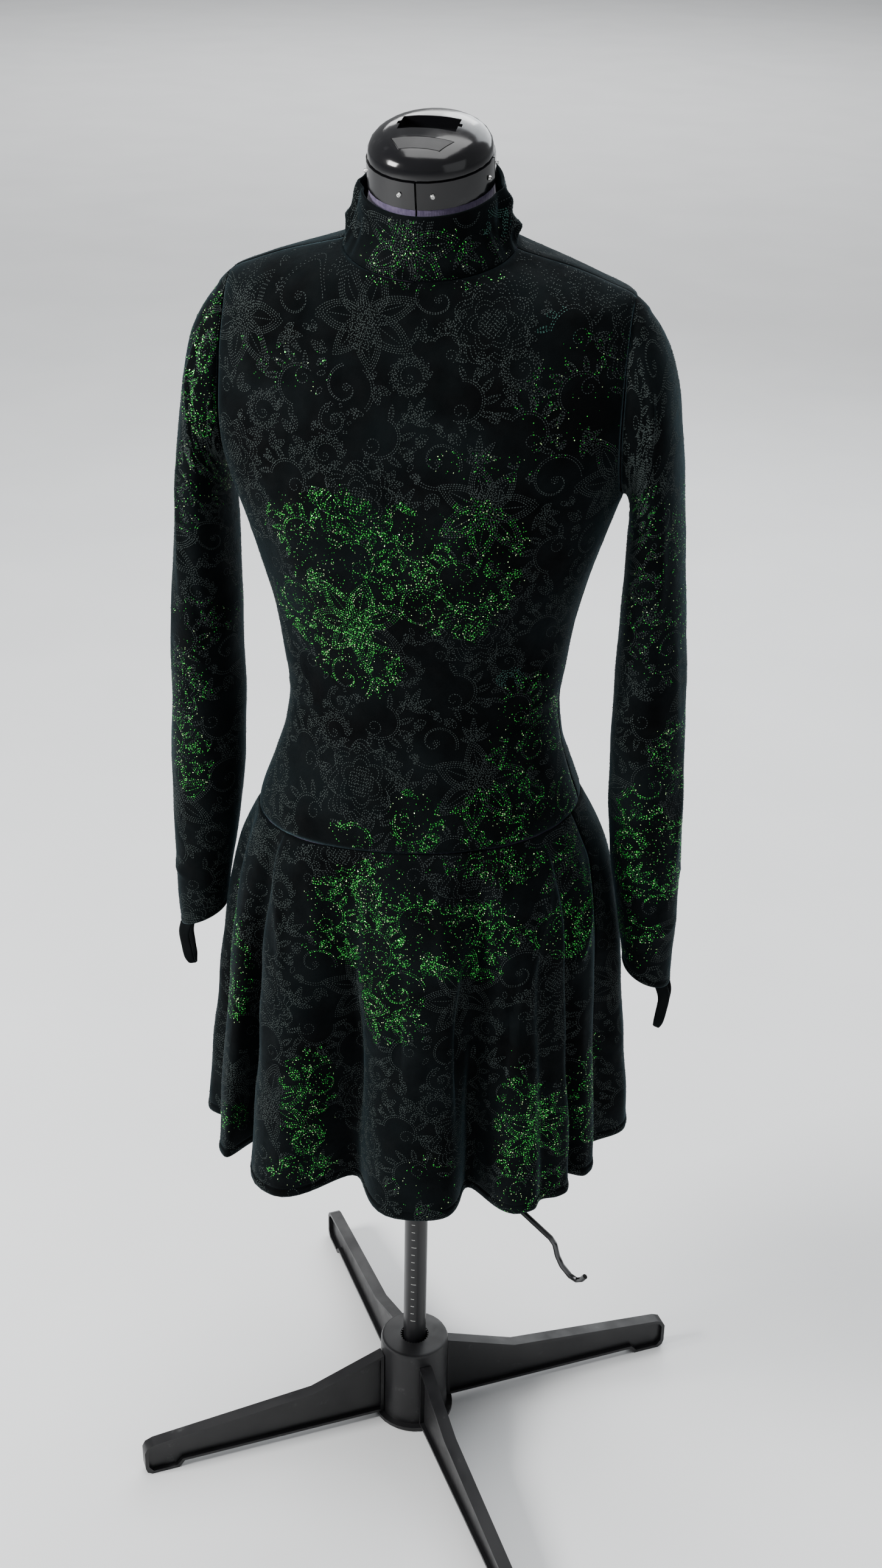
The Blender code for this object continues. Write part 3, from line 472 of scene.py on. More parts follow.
class Crease(NamedTuple):
    """A soft ridge, or a trough if its height is below 0, in metres on the laid-out cloth."""

    across: float
    up: float
    turn: float
    length: float
    width: float
    height: float
    bow: float = 0.0

    def lift(self, across: np.ndarray, up: np.ndarray) -> np.ndarray:
        """How far the crease lifts the cloth at each place.

        Args:
            across: Places across.
            up: Places up.

        Returns:
            A height for each.
        """
        c, s = cos(radians(self.turn)), sin(radians(self.turn))
        du, dv = across - self.across, up - self.up
        along = (du * c + dv * s) / (self.length / 2)
        side = -du * s + dv * c - self.bow * along**2
        fade = np.clip(1 - along**2, 0, 1) ** 2
        return self.height * np.exp(-((side / self.width) ** 2)) * fade

    def mirrored(self, share: float) -> "Crease":
        """The same crease on the other sleeve, at a share of its distance from the middle."""
        return self._replace(across=-self.across * share, turn=-self.turn)


class Hem(NamedTuple):
    """A turned-in edge at a sheet's bottom: its width, and how its two layers and stitches show."""

    width: float
    rise: float
    stitch: float
    step: float = 0.0018
    fold: float = 0.0016
    thread: float = 0.0013

    def lift(self, gap: np.ndarray) -> np.ndarray:
        """How far the hem lifts the cloth at each distance up from the edge.

        Args:
            gap: Distances up.

        Returns:
            A height for each.
        """
        layers = self.rise * np.clip((self.width - gap) / self.step, 0, 1)
        edge = self.rise * np.exp(-((gap / self.fold) ** 2))
        seam = self.stitch * np.exp(-(((gap - self.width) / self.thread) ** 2))
        return layers - edge - seam


@dataclass(frozen=True)
class BodyShape:
    """The dress form's skin, which the bodice lies on."""

    table: SmoothTable = field(default_factory=lambda: SmoothTable(BODY_ROWS))
    bust: Bust = Bust(0.074, 1.040, 0.052, 0.011)
    bottom: float = 0.668
    neck_top: float = 1.3145
    underarm: float = 1.072
    shoulder: float = 1.232
    armhole_x: float = 0.168
    drop_seam: float = 0.761
    hike: float = 0.08
    hike_ends: float = 0.868

    def skin(self, angle: np.ndarray, height: np.ndarray) -> np.ndarray:
        """Points on the skin at angles round from the front and at heights.

        Args:
            angle: Angles.
            height: Heights, before the tilt.

        Returns:
            The points.
        """
        row = self.table.at(height)
        x, y = oval(row, angle, row.squareness)
        bust = self.bust
        off = np.minimum(np.abs(x - bust.x), np.abs(x + bust.x)) ** 2 + (height - bust.height) ** 2
        mound = bust.rise * np.exp(-off / bust.radius**2) * np.clip(-y / bust.radius, 0, 1)
        y = y - mound
        tilt = np.where(y < 0, row.front_tilt, row.back_tilt)
        return np.stack([x, y, height + tilt * y], axis=-1)

    def outward(self, angle: np.ndarray, height: np.ndarray) -> np.ndarray:
        """The skin's unit direction out.

        Args:
            angle: Angles.
            height: Heights.

        Returns:
            A direction for each.
        """
        turn, rise = 0.02, 0.0015
        low, high = np.maximum(height - rise, self.bottom), np.minimum(height + rise, self.neck_top)
        across = self.skin(angle + turn, height) - self.skin(angle - turn, height)
        out = np.cross(across, self.skin(angle, high) - self.skin(angle, low))
        return out / np.linalg.norm(out, axis=-1, keepdims=True)

    def reach(self, height: np.ndarray) -> np.ndarray:
        """How far round a panel goes: to the side seam, or to the armhole.

        Args:
            height: Heights.

        Returns:
            The angle from the panel's centre line.
        """
        row = self.table.at(height)
        at_armhole = (height > self.underarm) & (height < self.shoulder)
        at_armhole &= row.half_width > self.armhole_x
        share = np.clip(self.armhole_x / row.half_width, 0, 1) ** (row.squareness / 2)
        return np.where(at_armhole, np.arcsin(share), pi / 2)

    def hiked(self, height: np.ndarray, x: np.ndarray) -> np.ndarray:
        """Heights below the waist, which climb towards +X as the drop seam does."""
        share = np.clip((self.hike_ends - height) / (self.hike_ends - self.drop_seam), 0, 1)
        return height + self.hike * x * share

    def off_skin(self, angle: np.ndarray, height: np.ndarray, offset: float) -> np.ndarray:
        """Points at an offset out from the skin, on the hiked rows."""
        level = self.hiked(height, self.skin(angle, height)[..., 0])
        return self.skin(angle, level) + offset * self.outward(angle, level)


# ---- Meshes ----


def grid_faces(rows: int, columns: int, closed: bool, first: int = 0) -> np.ndarray:
    """The quads of a grid of points.

    Args:
        rows: Rows of points.
        columns: Points in each row.
        closed: Whether the last column joins the first.
        first: The index of the grid's first point.

    Returns:
        Vertex indices, four a row.
    """
    i = np.arange(rows - 1)[:, None]
    j = np.arange(columns if closed else columns - 1)[None, :]
    k = (j + 1) % columns
    corners = [i * columns + j, i * columns + k, (i + 1) * columns + k, (i + 1) * columns + j]
    return first + np.stack(corners, axis=-1).reshape(-1, 4)


def make_mesh(name: str, points: np.ndarray, faces: np.ndarray) -> bpy.types.Mesh:
    """A smooth-shaded mesh of equal-sided faces.

    Args:
        name: The mesh's name.
        points: Its vertices.
        faces: Vertex indices, one row a face.

    Returns:
        The mesh.
    """
    mesh = bpy.data.meshes.new(name)
    sides = faces.shape[1]
    mesh.vertices.add(len(points))
    mesh.vertices.foreach_set("co", np.ascontiguousarray(points, np.float32).ravel())
    mesh.loops.add(faces.size)
    mesh.loops.foreach_set("vertex_index", faces.astype(np.int32).ravel())
    mesh.polygons.add(len(faces))
    mesh.polygons.foreach_set("loop_start", np.arange(0, faces.size, sides, dtype=np.int32))
    mesh.polygons.foreach_set("use_smooth", np.ones(len(faces), bool))
    mesh.update(calc_edges=True)
    mesh.validate()
    return mesh


def face_out(mesh: bpy.types.Mesh) -> None:
    """Turns a closed mesh's faces so that they point out.

    Args:
        mesh: The mesh, changed in place.
    """
    shape = bmesh.new()
    shape.from_mesh(mesh)
    bmesh.ops.recalc_face_normals(shape, faces=shape.faces)
    shape.to_mesh(mesh)
    shape.free()


def shell_mesh(name: str, outer: np.ndarray, inner: np.ndarray, closed: bool) -> bpy.types.Mesh:
    """A thin wall between two grids, with its rims closed.

    Args:
        name: The mesh's name.
        outer: The outer face's points, rows by columns.
        inner: The inner face's points, of the same shape.
        closed: Whether the columns run round.

    Returns:
        The mesh.
    """
    rows, columns = outer.shape[:2]
    count = rows * columns
    index = np.arange(count).reshape(rows, columns)
    sets = [grid_faces(rows, columns, closed), grid_faces(rows, columns, closed, count)[:, ::-1]]
    for line in (index[0], index[-1]):
        ends = (line, np.roll(line, -1)) if closed else (line[:-1], line[1:])
        sets.append(np.stack([ends[0], ends[1], ends[1] + count, ends[0] + count], axis=1))
    if not closed:
        for line in (index[:, 0], index[:, -1]):
            low, high = line[:-1], line[1:]
            sets.append(np.stack([low, high, high + count, low + count], axis=1))
    points = np.concatenate([outer.reshape(-1, 3), inner.reshape(-1, 3)])
    mesh = make_mesh(name, points, np.concatenate(sets))
    face_out(mesh)
    return mesh


def linked(name: str, data: bpy.types.ID) -> bpy.types.Object:
    """A new object in the scene that holds the data.

    Args:
        name: Its name.
        data: A mesh, a light or a camera.

    Returns:
        The object.
    """
    item = bpy.data.objects.new(name, data)
    bpy.context.scene.collection.objects.link(item)
    return item


def add_piece(
    name: str,
    mesh: bpy.types.Mesh,
    looks: Iterable[bpy.types.Material],
    body: Body,
) -> bpy.types.Object:
    """Links a mesh as a piece that rides on a body.

    Args:
        name: The piece's name.
        mesh: Its mesh, in the row frame.
        looks: Its materials, in the order of the mesh's material indices.
        body: The body that it rides on.

    Returns:
        The piece.
    """
    for look in looks:
        mesh.materials.append(look)
    piece = linked(name, mesh)
    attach(piece, body.value)
    LOG.info("%s: %d faces", name, len(mesh.polygons))
    return piece


# ---- Finishes ----


class Relief(NamedTuple):
    """One layer of bump: its height, its strength and its distance in metres."""

    height: bpy.types.NodeSocket
    strength: float
    distance: float


class Bench:
    """One material's nodes while they are put together."""

    def __init__(self, name: str) -> None:
        """Starts a material with its Principled shader and object coordinates.

        Args:
            name: The material's name.
        """
        self.material = bpy.data.materials.new(name)
        self.material.use_nodes = True
        self.tree = self.material.node_tree
        self.shader = self.tree.nodes["Principled BSDF"]
        self.places = self.tree.nodes.new("ShaderNodeTexCoord").outputs["Object"]

    def constant(self, **values: float | Vec3) -> None:
        """Sets values on the shader's own sockets, with _ for each blank in a name.

        Args:
            **values: A value for each socket.
        """
        for name, value in values.items():
            socket = self.shader.inputs[name.replace("_", " ")]
            is_colour = isinstance(value, tuple) and socket.type == "RGBA"
            socket.default_value = (*value, 1.0) if is_colour else value

    def stretched(self, scale: Vec3) -> bpy.types.NodeSocket:
        """Object coordinates scaled along each axis.

        Args:
            scale: The scale along each axis.

        Returns:
            The coordinates' socket.
        """
        mapping = self.tree.nodes.new("ShaderNodeMapping")
        mapping.inputs["Scale"].default_value = scale
        self.tree.links.new(self.places, mapping.inputs["Vector"])
        return mapping.outputs["Vector"]

    def noise(
        self,
        scale: float,
        detail: float = 2.0,
        rough: float = 0.5,
        vector: bpy.types.NodeSocket | None = None,
    ) -> bpy.types.NodeSocket:
        """A noise texture's factor.

        Args:
            scale: How fine it is.
            detail: Its octaves.
            rough: How strong the finer ones are.
            vector: Coordinates, if not the object's own.

        Returns:
            The factor's socket.
        """
        node = self.tree.nodes.new("ShaderNodeTexNoise")
        node.inputs["Scale"].default_value = scale
        node.inputs["Detail"].default_value = detail
        node.inputs["Roughness"].default_value = rough
        self.tree.links.new(vector or self.places, node.inputs["Vector"])
        return node.outputs["Fac"]

    def ramp(
        self, factor: bpy.types.NodeSocket, stops: Sequence[tuple[float, Vec3]]
    ) -> bpy.types.NodeSocket:
        """A colour ramp with the given stops.

        Args:
            factor: What the ramp reads.
            stops: Places and colours.

        Returns:
            The colour's socket.
        """
        node = self.tree.nodes.new("ShaderNodeValToRGB")
        elements = node.color_ramp.elements
        while len(elements) < len(stops):
            elements.new(0.5)
        for element, (place, colour) in zip(elements, stops):
            element.position = place
            element.color = (*colour, 1.0)
        self.tree.links.new(factor, node.inputs["Fac"])
        return node.outputs["Color"]

    def value(
        self, factor: bpy.types.NodeSocket, low: float, high: float, start: float, end: float
    ) -> bpy.types.NodeSocket:
        """A factor from start to end, read as a value from low to high.

        Args:
            factor: What is read.
            low: The value at the start.
            high: The value at the end.
            start: Where the range starts.
            end: Where it ends.

        Returns:
            The value's socket.
        """
        node = self.tree.nodes.new("ShaderNodeMapRange")
        for name, number in (
            ("From Min", start),
            ("From Max", end),
            ("To Min", low),
            ("To Max", high),
        ):
            node.inputs[name].default_value = number
        self.tree.links.new(factor, node.inputs["Value"])
        return node.outputs["Result"]

    def drive(self, name: str, socket: bpy.types.NodeSocket) -> None:
        """Links a socket to one of the shader's inputs."""
        self.tree.links.new(socket, self.shader.inputs[name])

    def bump(self, *layers: Relief) -> None:
        """Lays layers of bump one over the other.

        Args:
            *layers: The layers, the lowest first.
        """
        before = None
        for layer in layers:
            node = self.tree.nodes.new("ShaderNodeBump")
            node.inputs["Strength"].default_value = layer.strength
            node.inputs["Distance"].default_value = layer.distance
            self.tree.links.new(layer.height, node.inputs["Height"])
            if before:
                self.tree.links.new(before, node.inputs["Normal"])
            before = node.outputs["Normal"]
        self.tree.links.new(before, self.shader.inputs["Normal"])


@dataclass(frozen=True)
class VelvetFinish:
    """Pile cloth: near black face on, with a pale nap at grazing angles and crushed patches."""

    name: str
    deep: Vec3
    crushed: Vec3
    sheen: float
    sheen_tint: Vec3
    sheen_rough: float = 0.32

    def material(self) -> bpy.types.Material:
        """Makes the material.

        Returns:
            The new material.
        """
        bench = Bench(self.name)
        crush = bench.noise(scale=17.0, detail=4.0, rough=0.55)
        bench.drive("Base Color", bench.ramp(crush, ((0.36, self.deep), (0.68, self.crushed))))
        lie = bench.noise(scale=60.0, detail=2.0)
        bench.drive("Roughness", bench.value(lie, low=0.78, high=0.96, start=0.3, end=0.7))
        bench.constant(
            Sheen_Weight=self.sheen,
            Sheen_Roughness=self.sheen_rough,
            Sheen_Tint=self.sheen_tint,
            Specular_IOR_Level=0.05,
        )
        pile = bench.noise(scale=2200.0, detail=2.0, rough=0.7)
        drift = bench.noise(scale=95.0, detail=3.0, rough=0.6)
        bench.bump(
            Relief(drift, strength=0.35, distance=0.0012),
            Relief(pile, strength=0.5, distance=0.0003),
        )
        return bench.material


@dataclass(frozen=True)
class DotFinish:
    """A print dot or a painted tick: a dull colour, or foil that glitters, whose brightest kinds
    are painted glints.
    """

    name: str
    colour: Vec3
    metallic: float
    roughness: float

    def material(self) -> bpy.types.Material:
        """Makes the material.

        Returns:
            The new material.
        """
        bench = Bench(self.name)
        bench.constant(
            Base_Color=self.colour,
            Metallic=self.metallic,
            Roughness=self.roughness,
            Specular_IOR_Level=0.4,
        )
        return bench.material


@dataclass(frozen=True)
class MouldedFinish:
    """Moulded plastic or coated metal with fine grain, hazy patches and rubbed marks."""

    name: str
    colour: Vec3
    rubbed: Vec3
    smooth: float
    dull: float
    grain: float
    metallic: float = 0.0
    coat: float = 0.0
    gleam: float = 0.5
    drawn: Vec3 = (1.0, 1.0, 1.0)

    def material(self) -> bpy.types.Material:
        """Makes the material.

        Returns:
            The new material.
        """
        bench = Bench(self.name)
        marks = bench.noise(scale=38.0, detail=8.0, rough=0.72, vector=bench.stretched(self.drawn))
        stops = ((0.0, self.colour), (0.6, self.colour), (0.78, self.rubbed))
        bench.drive("Base Color", bench.ramp(marks, stops))
        haze = bench.noise(scale=24.0, detail=5.0, rough=0.6, vector=bench.stretched(self.drawn))
        sheen = bench.value(haze, low=self.smooth, high=self.dull, start=0.35, end=0.68)
        bench.drive("Roughness", sheen)
        bench.constant(
            Metallic=self.metallic,
            Coat_Weight=self.coat,
            Coat_Roughness=0.06,
            Specular_IOR_Level=self.gleam,
        )
        grain = bench.noise(scale=1500.0, detail=2.0)
        bench.bump(
            Relief(grain, strength=self.grain, distance=0.0002),
            Relief(marks, strength=0.12, distance=0.0004),
        )
        return bench.material


@dataclass(frozen=True)
class JerseyFinish:
    """Fine knit stretched over the form."""

    name: str
    colour: Vec3
    shade: Vec3

    def material(self) -> bpy.types.Material:
        """Makes the material.

        Returns:
            The new material.
        """
        bench = Bench(self.name)
        knit = bench.tree.nodes.new("ShaderNodeTexWave")
        knit.inputs["Scale"].default_value = 260.0
        knit.inputs["Distortion"].default_value = 1.5
        bench.tree.links.new(bench.stretched((1.0, 1.0, 0.6)), knit.inputs["Vector"])
        yarn = bench.noise(scale=320.0, detail=3.0)
        bench.drive("Base Color", bench.ramp(yarn, ((0.3, self.shade), (0.7, self.colour))))
        bench.constant(
            Roughness=0.92,
            Sheen_Weight=0.25,
            Sheen_Roughness=0.5,
            Specular_IOR_Level=0.2,
        )
        bench.bump(Relief(knit.outputs["Fac"], strength=0.4, distance=0.0003))
        return bench.material


VELVET = VelvetFinish(
    "black_velvet", deep=(0.0005, 0.0007, 0.0009), crushed=(0.0026, 0.0042, 0.0048), sheen=0.15,
    sheen_tint=(0.34, 0.58, 0.68),
)
STRAP = VelvetFinish(
    "strap_velvet", deep=(0.0016, 0.0020, 0.0024), crushed=(0.0060, 0.0078, 0.0086), sheen=0.18,
    sheen_tint=(0.45, 0.55, 0.60),
)


class Dot(Enum):
    """The kinds of print dot; the bright green and pale kinds are painted glints, foil dots
    coloured as if they caught the light. The value is the material's index on a print piece.
    """

    DULL = 0
    TEAL = 1
    GREEN = 2
    BRIGHT = 3
    PALE = 4


# The last two finishes are painted glints: foil dots coloured bright green and pale as if they
# caught the light.
DOT_FINISHES = (
    DotFinish("dull_thread", (0.016, 0.025, 0.024), 0.0, 0.80),
    DotFinish("teal_thread", (0.018, 0.075, 0.060), 0.2, 0.55),
    DotFinish("green_foil", (0.004, 0.098, 0.014), 0.60, 0.40),
    DotFinish("painted_glint_green_foil", (0.045, 0.640, 0.070), 0.60, 0.32),
    DotFinish("painted_glint_pale_foil", (0.620, 0.950, 0.420), 0.60, 0.26),
)

NODE_FINISHES = {
    Slot.JERSEY: JerseyFinish(
        "violet_jersey", colour=(0.120, 0.098, 0.165), shade=(0.070, 0.056, 0.105)
    ),
    Slot.FORM_PLASTIC: MouldedFinish(
        "black_moulding", colour=(0.006, 0.006, 0.007), rubbed=(0.030, 0.030, 0.032), smooth=0.24,
        dull=0.42, grain=0.12, gleam=0.3,
    ),
    Slot.CAP_GLOSS: MouldedFinish(
        "gloss_black", colour=(0.005, 0.005, 0.006), rubbed=(0.022, 0.022, 0.024), smooth=0.10,
        dull=0.24, grain=0.03, coat=0.14, gleam=0.34,
    ),
    Slot.CAP_MATTE: MouldedFinish(
        "matte_panel", colour=(0.020, 0.020, 0.021), rubbed=(0.04, 0.04, 0.042), smooth=0.50,
        dull=0.65, grain=0.35, gleam=0.4,
    ),
    Slot.SCREW: MouldedFinish(
        "bright_steel", colour=(0.62, 0.62, 0.60), rubbed=(0.30, 0.29, 0.28), smooth=0.18, dull=0.4,
        grain=0.05, metallic=1.0,
    ),
    Slot.POLE: MouldedFinish(
        "coated_tube", colour=(0.005, 0.005, 0.006), rubbed=(0.03, 0.03, 0.03), smooth=0.28,
        dull=0.48, grain=0.12, gleam=0.35, drawn=(1.0, 1.0, 0.12),
    ),
    Slot.BASE: MouldedFinish(
        "satin_black", colour=(0.006, 0.006, 0.007), rubbed=(0.050, 0.050, 0.052), smooth=0.34,
        dull=0.54, grain=0.3, gleam=0.34,
    ),
    Slot.GAUGE: MouldedFinish(
        "dark_chrome", colour=(0.065, 0.065, 0.067), rubbed=(0.02, 0.02, 0.02), smooth=0.10,
        dull=0.26, grain=0.05, metallic=1.0,
    ),
}


# ---- The dotted print ----


class Motif(Enum):
    """The figures of the print."""

    LILY = "lily"
    PEONY = "peony"
    SPRAY = "spray"
    PLUME = "plume"
    SCROLL = "scroll"
    WREATH = "wreath"
    CURL = "curl"
    LEAVES = "leaves"


class MotifPlace(NamedTuple):
    """A figure in the repeat: millimetres, degrees."""

    kind: Motif
    x: float
    y: float
    turn: float
    size: float


class Filler(NamedTuple):
    """Figures that fill the ground between the flowers, largest first."""

    kind: Motif
    size: float
    tries: int
    closeness: float


REPEAT = (224.0, 262.0)
FLOWERS = rows_of(
    MotifPlace,
    (Motif.LILY, 58, 62, 18, 47),
    (Motif.LILY, 168, 178, 205, 45),
    (Motif.PEONY, 160, 64, 10, 33),
    (Motif.PEONY, 62, 176, 40, 35),
)
FILLERS = rows_of(
    Filler,
    (Motif.PLUME, 29, 300, 0.78),
    (Motif.SCROLL, 23, 60, 0.80),
    (Motif.WREATH, 22, 120, 0.78),
    (Motif.PLUME, 20, 400, 0.76),
    (Motif.SPRAY, 18, 400, 0.74),
    (Motif.SCROLL, 13, 60, 0.76),
    (Motif.LEAVES, 12, 700, 0.72),
    (Motif.CURL, 8, 250, 0.76),
    (Motif.LEAVES, 7, 1200, 0.74),
)

Lines = list[np.ndarray]


def turned_lines(lines: Lines, turn: float, x: float = 0.0, y: float = 0.0) -> Lines:
    """Lines turned by degrees and moved.

    Args:
        lines: The lines.
        turn: Degrees.
        x: The move along x.
        y: The move along y.

    Returns:
        The moved lines.
    """
    c, s = cos(radians(turn)), sin(radians(turn))
    spin = np.array(((c, s), (-s, c)))
    return [line @ spin + np.array((x, y)) for line in lines]


def petal(length: float, width: float, scales: Sequence[float], rib: bool = True) -> Lines:
    """A pointed petal from the origin along +X.

    Args:
        length: Its length.
        width: Its greatest width.
        scales: The size of each outline, one inside the other.
        rib: Whether a line runs up its middle.

    Returns:
        Its lines.
    """
    t = np.linspace(0, 1, 22)
    half = 0.5 * width * np.sin(pi * t**0.8) ** 0.75
    side = np.stack([length * t, half], axis=1)
    outline = np.concatenate([side, side[::-1] * (1, -1)])
    middle = np.array((0.52 * length, 0.0))
    lines = [middle + (outline - middle) * scale for scale in scales]
    if rib:
        lines.append(np.array(((0.24 * length, 0.0), (0.74 * length, 0.0))))
    return lines


def hatch(radius: float, step: float) -> Lines:
    """Crossed lines that fill a round patch.

    Args:
        radius: The patch's radius.
        step: The gap between lines.

    Returns:
        Its lines.
    """
    lines = []
    for offset in np.arange(-radius + step / 2, radius, step):
        reach = np.sqrt(max(radius**2 - offset**2, 0.0))
        if reach > step:
            lines.append(np.array(((-reach, offset), (reach, offset))))
            lines.append(np.array(((offset, -reach), (offset, reach))))
    return turned_lines(lines, 45)


def circle(radius: float, lobes: int = 0, depth: float = 0.0, turn: float = 0.0) -> np.ndarray:
    """A ring, scalloped if it has lobes.

    Args:
        radius: Its radius.
        lobes: How many scallops it has.
        depth: Their depth, as a share of the radius.
        turn: How far they are shifted round, in radians.

    Returns:
        Its points.
    """
    angles = np.linspace(0, 2 * pi, 61)
    reach = radius * (1 - depth * (1 - np.abs(np.sin(lobes * (angles + turn) / 2))))
    return np.stack([reach * np.cos(angles), reach * np.sin(angles)], axis=1)


def spiral(radius: float, turns: float, inset: float = 0.0) -> np.ndarray:
    """A line that winds in from its outer end.

    Args:
        radius: Its outer radius.
        turns: How often it winds.
        inset: A gap kept from the rim.

    Returns:
        Its points.
    """
    angles = np.linspace(0, 2 * pi * turns, int(26 * turns) + 8)
    reach = (radius - inset) * (1 - angles / (2 * pi * turns)) ** 0.8 + 0.12 * radius
    return np.stack([reach * np.cos(angles), reach * np.sin(angles)], axis=1)


def lily(size: float) -> Lines:
    """Seven broad petals of close outlines, a stamen, and a crossed patch.

    Args:
        size: The flower's radius.

    Returns:
        Its lines.
    """
    lines = turned_lines(hatch(0.26 * size, 3.0), 10, -0.14 * size, -0.26 * size)
    for turn, share, wide in (
        (8, 1.0, 0.50),
        (58, 0.94, 0.52),
        (108, 1.04, 0.46),
        (160, 0.92, 0.52),
        (212, 0.84, 0.42),
        (262, 0.90, 0.46),
        (312, 0.98, 0.50),
    ):
        lines += turned_lines(petal(share * size, wide * size, (1.0, 0.86, 0.72, 0.56)), turn)
    reach = np.linspace(0.1, 0.82, 12) * size
    lines.append(np.stack([reach, 0.16 * size * np.sin(reach / size * 3)], axis=1))
    return [*lines, circle(2.2) + lines[-1][-1]]


def peony(size: float) -> Lines:
    """Scalloped rings round a crossed middle.

    Args:
        size: The flower's radius.

    Returns:
        Its lines.
    """
    rings = ((1.0, 8, 0.22), (0.91, 8, 0.22), (0.82, 8, 0.22), (0.62, 6, 0.26), (0.53, 6, 0.26))
    lines = [circle(share * size, lobes, depth, share) for share, lobes, depth in rings]
    for turn in range(0, 360, 45):
        leaf = petal(0.30 * size, 0.2 * size, (1.0, 0.6), rib=False)
        lines += turned_lines([line + (0.66 * size, 0) for line in leaf], turn + 20)
    return lines + hatch(0.36 * size, 2.8)


def plume(size: float) -> Lines:
    """A curled stem with leaves along both of its sides.

    Args:
        size: About its radius.

    Returns:
        Its lines.
    """
    angles = np.linspace(0.15 * pi, 1.25 * pi, 30)
    stem = 0.55 * size * np.stack([np.cos(angles), np.sin(angles)], axis=1)
    lines = [stem, stem * 1.12]
    for k, angle in enumerate(np.linspace(0.2 * pi, 1.2 * pi, 7)):
        length = (0.50 - 0.03 * abs(k - 3)) * size
        foot = 0.6 * size * np.array((cos(angle), sin(angle)))
        leaf = petal(length, 0.36 * length, (1.0, 0.62), rib=False)
        lines += turned_lines(leaf, np.degrees(angle) + 28, *foot)
    tip = spiral(0.26 * size, 1.3)
    return [*lines, tip + 0.30 * size * np.array((cos(0.15 * pi), sin(0.15 * pi)))]


def wreath(size: float) -> Lines:
    """Small filled leaves round a ring that winds in.

    Args:
        size: Its radius.

    Returns:
        Its lines.
    """
    lines = []
    for turn in np.linspace(0, 318, 15):
        leaf = petal(0.42 * size, 0.17 * size, (1.0, 0.5), rib=False)
        lines += turned_lines(turned_lines(leaf, 58, 0.56 * size * (1 - turn / 1100)), turn)
    return [*lines, spiral(0.46 * size, 1.1), circle(1.6)]


def motif_lines(kind: Motif, size: float) -> Lines:
    """A figure's dotted lines in millimetres, about the origin.

    Args:
        kind: Which figure.
        size: About its radius.

    Returns:
        Its lines.
    """
    if kind is Motif.LILY:
        return lily(size)
    if kind is Motif.PEONY:
        return peony(size)
    if kind is Motif.PLUME:
        return plume(size)
    if kind is Motif.WREATH:
        return wreath(size)
    if kind is Motif.SCROLL:
        lines = [spiral(size, 1.2, inset) for inset in (0.0, 2.6)]
        for turn in range(20, 200, 36):
            leaf = petal(0.34 * size, 0.16 * size, (1.0,), rib=False)
            lines += turned_lines(turned_lines(leaf, 50, 0.92 * size), -turn)
        return [*lines, circle(1.1), circle(2.8)]
    if kind is Motif.SPRAY:
        lines = []
        for turn, share in ((-58, 0.84), (-22, 1.1), (16, 1.2), (52, 0.9), (100, 0.6)):
            leaf = petal(share * size, 0.30 * size, (1.0, 0.66))
            lines += turned_lines(leaf, turn, -0.45 * size)
        return lines
    if kind is Motif.LEAVES:
        leaf = petal(1.2 * size, 0.55 * size, (1.0, 0.6))
        return turned_lines(leaf, 24, -0.7 * size) + turned_lines(leaf, -32, -0.7 * size)
    return [spiral(size, 1.0), circle(1.2)]


class Dots(NamedTuple):
    """Print dots on the laid-out cloth: places in metres, and each line's direction there."""

    places: np.ndarray
    turns: np.ndarray


def dotted(lines: Lines, spacing: float) -> tuple[np.ndarray, np.ndarray]:
    """Evenly spaced dots along lines, and the lines' directions at them.

    Args:
        lines: The lines.
        spacing: The gap between dots.

    Returns:
        Places and turns.
    """
    places, turns = [], []
    for line in lines:
        steps = np.diff(line, axis=0)
        run = np.concatenate([[0], np.cumsum(np.hypot(*steps.T))])
        count = max(int(run[-1] / spacing), 1)
        where = (np.arange(count) + 0.5) * run[-1] / count
        places.append(np.stack([np.interp(where, run, line[:, k]) for k in (0, 1)], axis=1))
        part = np.clip(np.searchsorted(run, where) - 1, 0, len(steps) - 1)
        turns.append(np.arctan2(steps[part, 1], steps[part, 0]))
    return np.concatenate(places), np.concatenate(turns)


